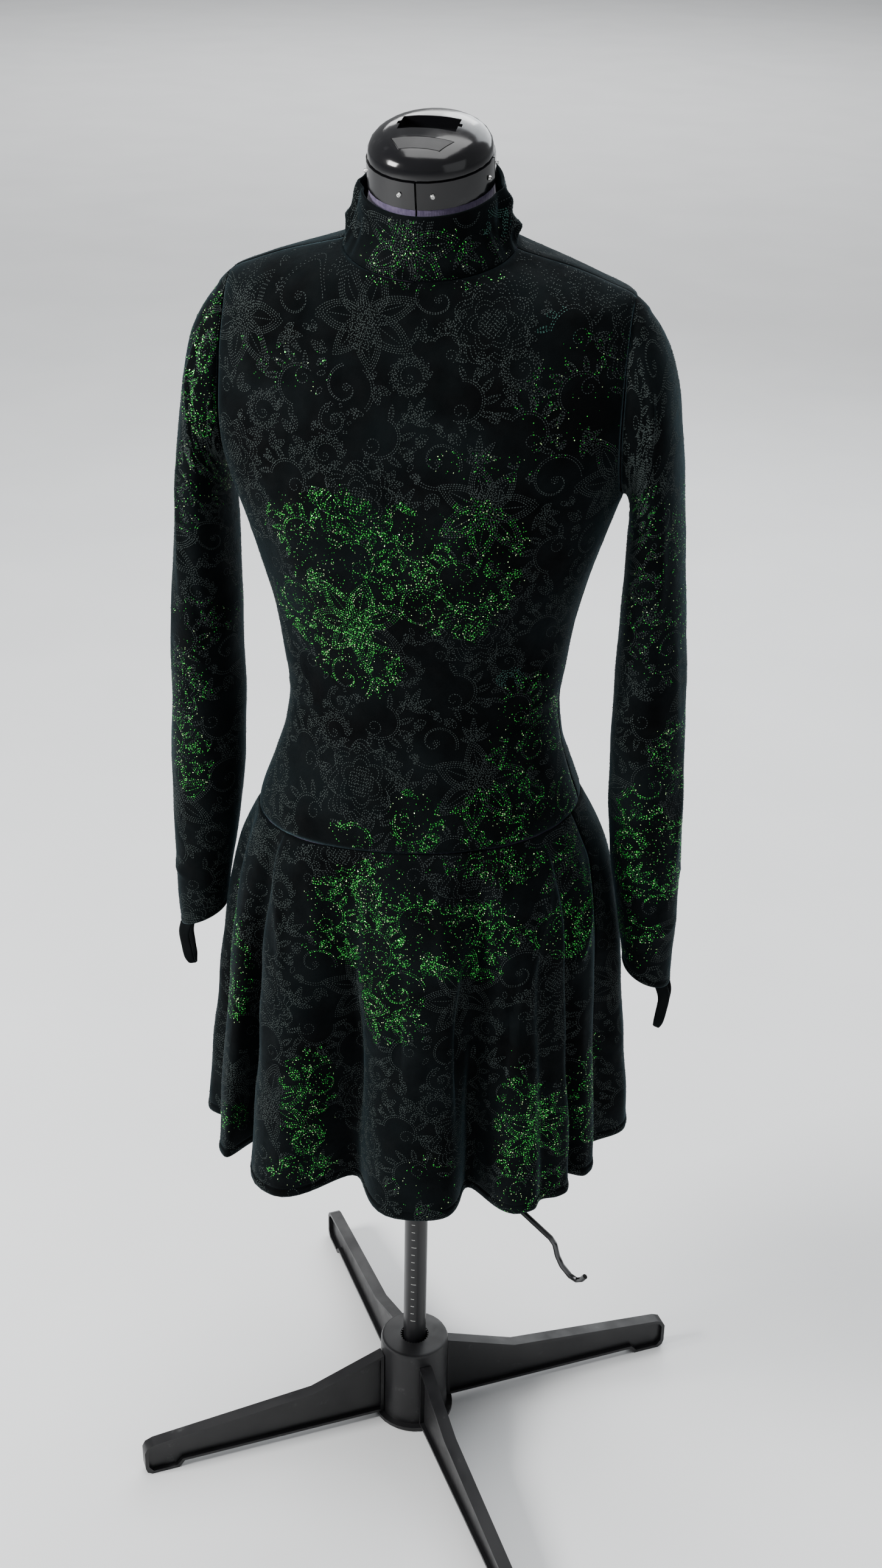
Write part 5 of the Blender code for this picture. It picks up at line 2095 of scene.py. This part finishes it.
@dataclass
class Skirt:
    """The flared skirt, whose front and back halves fall in free folds."""

    body: BodyShape
    table: SmoothTable = field(default_factory=lambda: SmoothTable(SKIRT_ROWS[::-1]))
    hem: float = 0.388
    seam_ease: float = 0.085
    growth: float = 0.72
    samples: int = 10
    rows: int = 84
    hem_rows: int = 12
    hem_step: float = 0.0011
    hem_edge: Hem = Hem(width=0.0085, rise=0.0006, stitch=0.0008)
    front_folds: int = 7
    cloth: float = 0.0014
    clear: float = 0.0012
    seam_gap: float = 0.0004
    creases: tuple[Crease, ...] = rows_of(
        Crease,
        (-0.060, 0.690, 86, 0.15, 0.0065, 0.0034, 0.006),
        (0.014, 0.680, 94, 0.16, 0.0070, 0.0034, -0.006),
        (0.066, 0.690, 90, 0.14, 0.0060, 0.0032, 0.003),
        (0.115, 0.690, 88, 0.14, 0.0060, 0.0036, 0.004),
        (-0.110, 0.700, 91, 0.13, 0.0055, 0.0026, 0.003),
        (-0.150, 0.680, 92, 0.16, 0.0065, 0.0034, 0.004),
        (0.040, 0.570, 91, 0.24, 0.0062, -0.0078, 0.004),
        (-0.085, 0.560, 88, 0.26, 0.0062, -0.0078, 0.004),
        (0.098, 0.570, 92, 0.23, 0.0058, -0.0070, 0.003),
        (-0.024, 0.590, 90, 0.20, 0.0054, -0.0058, 0.003),
        (0.180, 0.660, 84, 0.16, 0.0065, 0.0030),
        (0.060, 0.600, 90, 0.16, 0.0090, 0.0022, 0.006),
        (-0.190, 0.560, 94, 0.20, 0.0090, 0.0018, 0.006),
        (-0.010, 0.520, 84, 0.22, 0.0100, 0.0018, 0.008),
    )
    front_patches: tuple[GlitterPatch, ...] = rows_of(
        GlitterPatch,
        (-0.032, 0.688, 0.054, 0.052, 0.95),
        (0.000, 0.705, 0.046, 0.050, 0.92),
        (0.064, 0.684, 0.044, 0.042, 0.92),
        (0.092, 0.752, 0.052, 0.014, 0.75),
        (0.008, 0.632, 0.036, 0.046, 0.88),
        (0.165, 0.690, 0.036, 0.036, 0.90),
        (0.150, 0.740, 0.040, 0.022, 0.30),
        (-0.163, 0.596, 0.017, 0.058, 0.85),
        (-0.076, 0.480, 0.026, 0.066, 0.90),
        (-0.086, 0.410, 0.028, 0.018, 0.85),
        (0.120, 0.490, 0.023, 0.074, 0.85),
        (0.182, 0.490, 0.034, 0.048, 0.80),
        (0.036, 0.430, 0.034, 0.034, 0.22),
        (0.010, 0.600, 0.030, 0.036, 0.65),
        (-0.168, 0.420, 0.014, 0.020, 0.80),
        (0.130, 0.420, 0.030, 0.030, 0.50),
    )
    back_patches: tuple[GlitterPatch, ...] = rows_of(
        GlitterPatch,
        (0.060, 0.660, 0.062, 0.056, 0.90),
        (-0.090, 0.600, 0.045, 0.060, 0.85),
        (0.000, 0.480, 0.040, 0.060, 0.80),
        (0.140, 0.500, 0.040, 0.050, 0.75),
        (-0.150, 0.450, 0.040, 0.045, 0.70),
    )

    def controls(self) -> np.ndarray:
        """(angle, inset, angle at the seam) at each crest's two ends and each valley.

        Returns:
            Degrees, millimetres and degrees.
        """
        points = []
        for fold, following in zip(FOLD_ROWS, FOLD_ROWS[1:] + FOLD_ROWS[:1]):
            after = following.crest_from + (360 if following is FOLD_ROWS[0] else 0)
            points.append((fold.crest_from, fold.crest_inset, fold.crest_from))
            points.append((fold.crest_to, fold.crest_inset, fold.crest_to))
            points.append((fold.valley, fold.valley_inset, (fold.crest_to + after) / 2))
        return np.array(points, float)

    def line(self) -> np.ndarray:
        """(angle, inset, angle at the seam) of each column, on a smooth curve round the folds.

        Returns:
            Radians, metres and radians.
        """
        points = self.controls()
        count = len(points)
        millimetres_a_degree = 3.0
        turn = np.array((360.0, 0.0, 360.0))
        places = np.array([points[k % count] + turn * (k // count) for k in range(-2, count + 3)])
        weights = np.array((millimetres_a_degree, 1.0))
        lengths = np.linalg.norm(np.diff(places[:, :2], axis=0) * weights, axis=1)
        line = []
        for i in range(2, count + 2):
            before, here, after = lengths[i - 1], lengths[i], lengths[i + 1]
            into = (places[i] - places[i - 1]) / before
            step = (places[i + 1] - places[i]) / here
            beyond = (places[i + 2] - places[i + 1]) / after
            start = (into * here + step * before) / (here + before)
            end = (step * after + beyond * here) / (after + here)
            ends, slopes = (places[i], places[i + 1]), (start, end)
            line += [hermite(k / self.samples, here, ends, slopes) for k in range(self.samples)]
        return np.array(line) * (pi / 180, MM, pi / 180)

    def heights(self) -> np.ndarray:
        """The rows, closer together at the hem.

        Returns:
            Heights, rising.
        """
        edge = self.hem + self.hem_rows * self.hem_step
        seam = self.body.drop_seam - self.seam_gap
        low = np.linspace(self.hem, edge, self.hem_rows, endpoint=False)
        return np.concatenate([low, np.linspace(edge, seam, self.rows)])

    def surface(self) -> np.ndarray:
        """The outer face, from the hem up to the drop seam, all round.

        Returns:
            Points, rows by columns.
        """
        hem_angle, inset, seam_angle = self.line().T[:, None, :]
        drop = self.body.drop_seam
        heights = self.heights()[:, None]
        fall = np.clip((drop - heights) / (drop - self.hem), 0, 1)
        angle = seam_angle + (hem_angle - seam_angle) * fall
        row = self.table.at(heights)
        x, y = oval(row, angle, row.squareness)
        scale = 1 - inset * fall**self.growth / np.hypot(x, y)
        near_seam = np.clip(1 - (drop - heights) / self.seam_ease, 0, 1)
        seam = self.body.off_skin(angle, drop + 0 * angle, self.clear + self.cloth)
        top = self.table.at(drop)
        across, deep = oval(top, angle, top.squareness)
        x = x * scale + near_seam * (seam[..., 0] - across)
        y = y * scale + near_seam * (seam[..., 1] - deep)
        return np.stack([x, y, heights + self.body.hike * x], axis=-1)

    def sheets(self) -> list[ClothSheet]:
        """The two halves, parted in valleys at the sides.

        Returns:
            Front, then back.
        """
        whole = self.surface()
        valley = 2 * self.samples
        right = 3 * self.samples * (self.front_folds - 1) + valley
        left = 3 * self.samples * (len(FOLD_ROWS) - 1) + valley
        count = whole.shape[1]
        front = [k % count for k in range(left - count, right + 1)]
        back = list(range(right, left + 1))
        shared = {
            "ups": self.heights(), "flat": (0.86, 0.39), "held": "hung", "hem": self.hem_edge,
            "rolled": (False, True, True, True), "unevenness": 0.0008, "roll": 0.0010,
            "creases": self.creases,
        }
        return [
            ClothSheet(
                "velvet_skirt_front", ("skirt_front",), whole[:, front], area=0.250,
                rests_on=("velvet_bodice_front",), seed=7, print_shift=(-0.020, 0.560),
                patches=self.front_patches, **shared,
            ),
            ClothSheet(
                "velvet_skirt_back", ("skirt_back",), whole[:, back], area=0.246,
                rests_on=("velvet_bodice_back",), seed=8, print_shift=(0.070, 0.500),
                patches=self.back_patches, **shared,
            ),
        ]


@dataclass
class Collar:
    """The mock neck: one band turned over at the top, with soft folds at both sides."""

    bodice: Bodice
    columns: int = 216
    thickness: float = 0.0024
    seam_gap: float = 0.0004
    ring_steps: tuple[int, ...] = (6, 6, 8, 7, 6)
    crown_lines: int = 6
    crown_rise: float = 1.15
    inner_share: float = 0.3
    folds: tuple[Crease, ...] = rows_of(
        Crease,
        (0.000, 0.026, 0, 1.200, 0.0150, -0.0036),
        (0.000, 0.052, 0, 1.200, 0.0080, -0.0014),
        (-0.100, 0.020, 24, 0.070, 0.0046, 0.0030, 0.004),
        (-0.108, 0.040, 18, 0.060, 0.0046, 0.0026, 0.003),
        (-0.094, 0.030, 66, 0.086, 0.0058, 0.0046, 0.010),
        (-0.083, 0.028, 66, 0.076, 0.0038, -0.0022, 0.010),
        (0.098, 0.032, 116, 0.082, 0.0056, 0.0042, -0.008),
        (0.110, 0.016, 150, 0.070, 0.0054, 0.0038, -0.006),
        (0.087, 0.030, 112, 0.072, 0.0038, -0.0020, -0.008),
        (0.104, 0.034, -30, 0.066, 0.0046, 0.0036, 0.004),
        (0.096, 0.018, -24, 0.064, 0.0040, 0.0030, 0.003),
        (-0.082, 0.018, 68, 0.060, 0.0036, 0.0026, 0.004),
        (-0.066, 0.016, 76, 0.050, 0.0030, -0.0012, 0.003),
        (-0.104, 0.020, 84, 0.060, 0.0040, 0.0020, 0.002),
        (0.070, 0.016, 112, 0.052, 0.0034, 0.0024, -0.004),
        (0.083, 0.018, 106, 0.056, 0.0030, -0.0012, -0.004),
        (0.093, 0.020, 102, 0.060, 0.0038, 0.0026, -0.005),
        (0.110, 0.020, 94, 0.056, 0.0036, 0.0018),
        (0.010, 0.010, 4, 0.090, 0.0050, 0.0012, 0.003),
        (0.160, 0.020, 80, 0.050, 0.0050, 0.0014),
        (-0.165, 0.020, 98, 0.050, 0.0050, 0.0014),
    )
    patches: tuple[GlitterPatch, ...] = rows_of(
        GlitterPatch,
        (-0.004, 1.268, 0.054, 0.026, 0.40),
        (0.050, 1.262, 0.014, 0.024, 0.20),
        (0.058, 1.290, 0.010, 0.012, 1.0, Dot.TEAL),
    )

    def rings(self, thin: float) -> np.ndarray:
        """Rings up one face of the band, from the neckline.

        Args:
            thin: How far the face is in from the outer one.

        Returns:
            Points, rings by columns.
        """
        turns = np.linspace(-pi, pi, self.columns + 1)
        body, bodice = self.bodice.body, self.bodice
        offset = bodice.clear + (bodice.cloth if thin == 0.0 else 0.0)
        base = body.off_skin(turns, bodice.neckline + 0 * turns, offset)
        rings = [base + (0.0, 0.0, self.seam_gap)]
        for row in COLLAR_ROWS:
            shrunk = SimpleNamespace(
                half_width=row.half_width - thin, front=row.front - thin, back=row.back - thin
            )
            x, y = oval(shrunk, turns, 2.0)
            tilt = np.where(y < 0, row.front_tilt, row.back_tilt)
            rings.append(np.stack([x, y, row.height + tilt * y], axis=-1))
        return through(np.array(rings), self.ring_steps)

    def build(self, velvet: bpy.types.Material, printer: DotPrinter) -> bpy.types.Object:
        """Makes the band, turned over at its top, with its print.

        Args:
            velvet: Its cloth.
            printer: Makes its print.

        Returns:
            The piece.
        """
        outer, inner = self.rings(0.0), self.rings(self.thickness)
        face = ClothSheet(
            "velvet_collar", ("collar",), outer, run_along(outer[:, self.columns // 2]),
            flat=(0.43, 0.10), held="folded", rests_on=("velvet_bodice_front",), tube=True,
            creases=self.folds, seed=9, unevenness=0.0005, rolled=(False, False, False, False),
            print_shift=(0.05, -0.02), patches=self.patches,
        )
        face.shape()
        moved = face.outer - outer
        share = np.linspace(0, 1, len(outer))[:, None, None] ** 2
        inner = inner + moved * (self.inner_share + (1 - self.inner_share) * share)
        top, inside = face.outer[-1], inner[-1]
        middle, reach = (top + inside) / 2, (top - inside) / 2
        rise = np.array((0.0, 0.0, self.crown_rise * self.thickness / 2))
        turns = np.linspace(0, pi, self.crown_lines + 2)[1:-1]
        crown = [middle + cos(t) * reach + sin(t) * rise for t in turns]
        grid = np.concatenate([face.outer, np.array(crown), inner[::-1]])[:, :-1]
        mesh = make_mesh(face.name, grid.reshape(-1, 3), grid_faces(*grid.shape[:2], True))
        piece = add_piece(face.name, mesh, [velvet], Body.FORM)
        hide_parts(*face.nodes)
        face.declare(piece, printer.build(face))
        return piece


@dataclass
class FingerLoops:
    """The strap under each cuff's outer corner."""

    cuff_slope: float = 0.44
    cuff_x: float = 0.2405
    thickness: float = 0.0022
    sway: float = 0.0012
    twist: float = 0.0016
    pinch: float = 0.34
    pinch_reach: float = 0.0075
    edge_thinning: float = 0.86
    seam_gap: float = 0.0004
    low: float = min(row.z for row in LOOP_ROWS)
    columns: int = 9
    row_steps: int = 6

    def build(self, strap: bpy.types.Material) -> None:
        """Makes both straps, rounded at their edges and a little twisted.

        Args:
            strap: Their cloth.
        """
        shares = np.linspace(-1, 1, self.columns)
        rows = []
        for row in LOOP_ROWS:
            narrowed = 1 - self.pinch * exp(-(((row.z - self.low) / self.pinch_reach) ** 2))
            x = row.x + shares * row.half_width * narrowed
            z = row.z + 0 * x
            if row.z == LOOP_ROWS[0].z:
                z = row.z + self.cuff_slope * (self.cuff_x - x) - self.seam_gap
            rows.append(np.stack([x, row.y + 0 * x, z], axis=1))
        middle = through(np.array(rows), [self.row_steps] * (len(rows) - 1))
        turn = np.linspace(0, pi, len(middle))
        middle[:, :, 0] += self.sway * np.sin(3 * turn)[:, None]
        middle[:, :, 1] += self.twist * np.sin(turn)[:, None] * shares * np.cos(2.2 * turn)[:, None]
        out = grid_normals(middle, closed=False)
        out[:, :, 0] = 0.0
        out /= np.linalg.norm(out, axis=2, keepdims=True)
        edge = np.clip(1 - self.edge_thinning * shares**4, 0, 1)
        half = (self.thickness / 2) * np.sqrt(edge)
        outer, inner = middle + out * half[:, None], middle - out * half[:, None]
        for name, side in (("left", 1.0), ("right", -1.0)):
            mirror = (side, 1.0, 1.0)
            mesh = shell_mesh(f"strap_{name}", outer * mirror, inner * mirror, closed=False)
            piece = add_piece(f"strap_{name}", mesh, [strap], Body.FORM)
            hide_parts(f"finger_loop_{name}")


# ---- The form and the stand ----


SAME_SPOT = 2e-6


def soften(mesh: bpy.types.Mesh, limit: float = radians(40)) -> None:
    """Shades a mesh smoothly across edges under a limit, without a change to its points.

    Args:
        mesh: The mesh.
        limit: The largest angle that is smoothed.
    """
    corners = np.array([loop.vertex_index for loop in mesh.loops])
    points = np.array([vertex.co for vertex in mesh.vertices])
    owners = np.concatenate([[face.index] * face.loop_total for face in mesh.polygons])
    normals = np.array([face.normal for face in mesh.polygons])
    areas = np.array([face.area for face in mesh.polygons])
    cells = np.round(points / SAME_SPOT)
    spots = np.unique(cells, axis=0, return_inverse=True)[1].ravel()[corners]
    around: dict[int, list[int]] = {}
    for spot, owner in zip(spots, owners):
        around.setdefault(spot, []).append(owner)
    made = []
    for spot, owner in zip(spots, owners):
        faces = np.array(around[spot])
        close = faces[normals[faces] @ normals[owner] > cos(limit)]
        total = (normals[close] * areas[close, None]).sum(axis=0)
        made.append(total / max(np.linalg.norm(total), TINY))
    mesh.shade_smooth()
    mesh.normals_split_custom_set(made)


@dataclass
class HardParts:
    """Finishes on the carried-over solids, and the small fittings on them."""

    hub_top: float = 0.102
    hub_hole: float = 0.0152
    tooth_tip: float = 0.0137
    tooth_count: int = 28
    tooth_height: float = 0.012
    tooth_sunk: float = 0.0006
    tooth_seat: float = 0.00002
    tooth_foot: float = 0.30
    tooth_crest: float = 0.16
    pole_radius: float = 0.012
    scale_low: float = 0.130
    scale_high: float = 0.345
    scale_turn: float = radians(-4)
    tick_gap: float = 0.01
    tick_half_height: float = 0.0004
    tick_raised: float = 0.00006
    tick_left: float = -0.1
    tick_right: float = 0.2
    tick_right_long: float = 0.34
    tick_points: int = 6
    screw_count: int = 8
    screw_spin: float = 20.0
    slot_lift: float = 0.00075
    slot_size: Vec3 = (0.0024, 0.0005, 0.0003)

    def dress(self) -> None:
        """Gives every shown solid its finish."""
        made = {slot.value: finish.material() for slot, finish in NODE_FINISHES.items()}
        for part in frame["record"]["subparts"]:
            look = made.get(part["material_slot"])
            node = frame["nodes"][part["node"]]
            if look and not node.hide_render:
                node.data.materials.clear()
                node.data.materials.append(look)
                soften(node.data)
                LOG.info("%s: %s", part["node"], look.name)

    def hub_teeth(self) -> None:
        """The ring of small teeth in the hub's mouth."""
        points, faces = [], []
        step = 2 * pi / self.tooth_count
        seat = self.hub_hole - self.tooth_seat
        profile = (
            (-self.tooth_foot, seat),
            (-self.tooth_crest, self.tooth_tip),
            (self.tooth_crest, self.tooth_tip),
            (self.tooth_foot, seat),
        )
        for k in range(self.tooth_count):
            first = len(points)
            for height in (self.hub_top - self.tooth_height, self.hub_top - self.tooth_sunk):
                for turn, radius in profile:
                    angle = (k + turn) * step
                    points.append((radius * cos(angle), radius * sin(angle), height))
            ring = [first + i for i in range(8)]
            faces += [(ring[i], ring[i + 1], ring[i + 5], ring[i + 4]) for i in range(3)]
            faces.append((ring[3], ring[0], ring[4], ring[7]))
            faces += [tuple(ring[3::-1]), tuple(ring[4:])]
        mesh = make_mesh("hub_teeth", np.array(points), np.array(faces))
        mesh.shade_flat()
        face_out(mesh)
        look = bpy.data.materials[NODE_FINISHES[Slot.BASE].name]
        add_piece("hub_teeth", mesh, [look], Body.STAND)

    def pole_scale(self) -> None:
        """A plain height scale on the pole's front: short ticks, each fifth one long."""
        paint = DotFinish("scale_paint", (0.34, 0.34, 0.33), metallic=0.0, roughness=0.6)
        points, faces = [], []
        radius, columns = self.pole_radius + self.tick_raised, self.tick_points
        count = int((self.scale_high - self.scale_low) / self.tick_gap)
        for k in range(count + 1):
            height = self.scale_low + self.tick_gap * k
            right = self.tick_right_long if k % 5 == 0 else self.tick_right
            turns = self.scale_turn - pi / 2 + np.linspace(self.tick_left, right, columns)
            first = len(points)
            for z in (height - self.tick_half_height, height + self.tick_half_height):
                points += [(radius * cos(t), radius * sin(t), z) for t in turns]
            faces += grid_faces(2, columns, closed=False, first=first).tolist()
        mesh = make_mesh("pole_scale", np.array(points), np.array(faces))
        add_piece("pole_scale", mesh, [paint.material()], Body.STAND)

    def painted_screw_slot_shade(self) -> None:
        """A dark cross of painted shade let into each screw head of the neck band, standing for the
        shade inside its slot.
        """
        # Dark matte crosses are painted shade: the slots in the steel heads look dark only from
        # shade.
        look = NODE_FINISHES[Slot.CAP_MATTE].material()
        shape = bmesh.new()
        long, wide, deep = self.slot_size
        for number in range(1, self.screw_count + 1):
            low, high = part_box(f"band_screw_{number}")
            centre = (low + high) / 2
            out = Vector((centre.x, centre.y, 0.0)).normalized()
            turn = out.to_track_quat("Z", "Y").to_matrix().to_4x4()
            spin = Matrix.Rotation(radians(self.screw_spin * number), 4, "Z")
            place = Matrix.Translation(centre + out * self.slot_lift) @ turn @ spin
            for size in ((long, wide, deep, 1.0), (wide, long, deep, 1.0)):
                bmesh.ops.create_cube(shape, size=1.0, matrix=place @ Matrix.Diagonal(size))
        mesh = bpy.data.meshes.new("painted_screw_slot_shade")
        shape.to_mesh(mesh)
        shape.free()
        add_piece("painted_screw_slot_shade", mesh, [look], Body.FORM)


# ---- The studio ----


class Lamp(NamedTuple):
    """A soft square light and the point that it is aimed at."""

    name: str
    place: Vec3
    size: float
    power: float
    colour: Vec3
    aim: Vec3 = (0.0, 0.0, 0.75)


@dataclass
class Studio:
    """A pale floor, soft lights and the camera at the photograph's angle."""

    pitch: float = radians(27.55)
    distance: float = 1.6463
    height: float = 1.6293
    sideways: float = 0.0168
    roll: float = radians(1.13)
    azimuth: float = radians(12)
    lens: float = 46.12
    film: float = 36.0
    floor_half: float = 40.0
    floor_dark: Vec3 = (0.74, 0.75, 0.76)
    floor_light: Vec3 = (0.78, 0.79, 0.80)
    sky: Vec3 = (0.86, 0.88, 0.90)
    sky_strength: float = 0.32
    lamps: tuple[Lamp, ...] = (
        Lamp("key", (-2.6, -1.5, 2.3), 1.0, 190.0, (1.0, 0.99, 0.97)),
        Lamp("fill", (2.6, -1.4, 1.9), 2.2, 12.0, (0.95, 0.98, 1.0)),
        Lamp("back", (0.6, 3.0, 2.6), 2.4, 70.0, (0.93, 0.97, 1.0)),
        Lamp("overhead", (0.0, 0.4, 4.6), 3.4, 200.0, (1.0, 1.0, 1.0)),
        Lamp("far_floor", (-2.0, 9.0, 5.0), 5.0, 420.0, (1.0, 1.0, 1.0), (-2.0, 9.0, 0.0)),
    )

    def build(self) -> None:
        """Makes the floor, the lights and the camera."""
        self._floor()
        for lamp in self.lamps:
            self._lamp(lamp)
        world = bpy.data.worlds.new("studio")
        world.use_nodes = True
        back = world.node_tree.nodes["Background"]
        back.inputs["Color"].default_value = (*self.sky, 1.0)
        back.inputs["Strength"].default_value = self.sky_strength
        bpy.context.scene.world = world
        self._camera()

    def _floor(self) -> None:
        """A wide pale floor."""
        half = self.floor_half
        points = np.array([(-half, -half, 0), (half, -half, 0), (half, half, 0), (-half, half, 0)])
        mesh = make_mesh("floor", points, np.array([[0, 1, 2, 3]]))
        floor = linked("floor", mesh)
        bench = Bench("pale_floor")
        patches = bench.noise(scale=3.0, detail=4.0)
        stops = ((0.3, self.floor_dark), (0.7, self.floor_light))
        bench.drive("Base Color", bench.ramp(patches, stops))
        bench.constant(Roughness=0.75)
        mesh.materials.append(bench.material)
        floor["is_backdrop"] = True

    def _lamp(self, lamp: Lamp) -> None:
        """One soft light.

        Args:
            lamp: What it is like.
        """
        light = bpy.data.lights.new(lamp.name, "AREA")
        light.shape = "SQUARE"
        light.size = lamp.size
        light.energy = lamp.power
        light.color = lamp.colour
        item = linked(lamp.name, light)
        item.location = lamp.place
        ahead = Vector(lamp.aim) - Vector(lamp.place)
        item.rotation_euler = ahead.to_track_quat("-Z", "Y").to_euler()

    def _camera(self) -> None:
        """The camera, as the photograph was taken."""
        right = Vector((cos(self.azimuth), sin(self.azimuth), 0.0))
        level = Vector((-sin(self.azimuth), cos(self.azimuth), 0.0))
        up = Vector((0.0, 0.0, 1.0))
        ahead = cos(self.pitch) * level - sin(self.pitch) * up
        above = sin(self.pitch) * level + cos(self.pitch) * up
        across = cos(self.roll) * right + sin(self.roll) * above
        upright = -sin(self.roll) * right + cos(self.roll) * above
        place = Matrix((across, upright, -ahead)).transposed().to_4x4()
        place.translation = self.sideways * right - self.distance * level + self.height * up
        data = bpy.data.cameras.new("camera")
        data.sensor_width, data.lens = self.film, self.lens
        camera = linked("camera", data)
        camera.matrix_world = place
        bpy.context.scene.camera = camera


def corners() -> list[list[float]]:
    """The shown object's lowest and highest corners."""
    return [[float(x) for x in corner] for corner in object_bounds()]


def main() -> None:
    """Builds the dress, finishes the hard parts, and sets the studio."""
    logging.basicConfig(level=logging.INFO, format="%(message)s")
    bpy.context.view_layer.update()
    velvet, strap = VELVET.material(), STRAP.material()
    printer = DotPrinter(ScrollPrint(), [finish.material() for finish in DOT_FINISHES])

    body = BodyShape()
    bodice = Bodice(body)
    for part in (bodice, Sleeves(bodice), Skirt(body)):
        for sheet in part.sheets():
            piece = sheet.build(velvet)
            sheet.declare(piece, printer.build(sheet))
    Collar(bodice).build(velvet, printer)
    FingerLoops().build(strap)

    hard = HardParts()
    hard.dress()
    hard.hub_teeth()
    hard.pole_scale()
    hard.painted_screw_slot_shade()
    Studio().build()


if __name__ == "__main__":
    main()
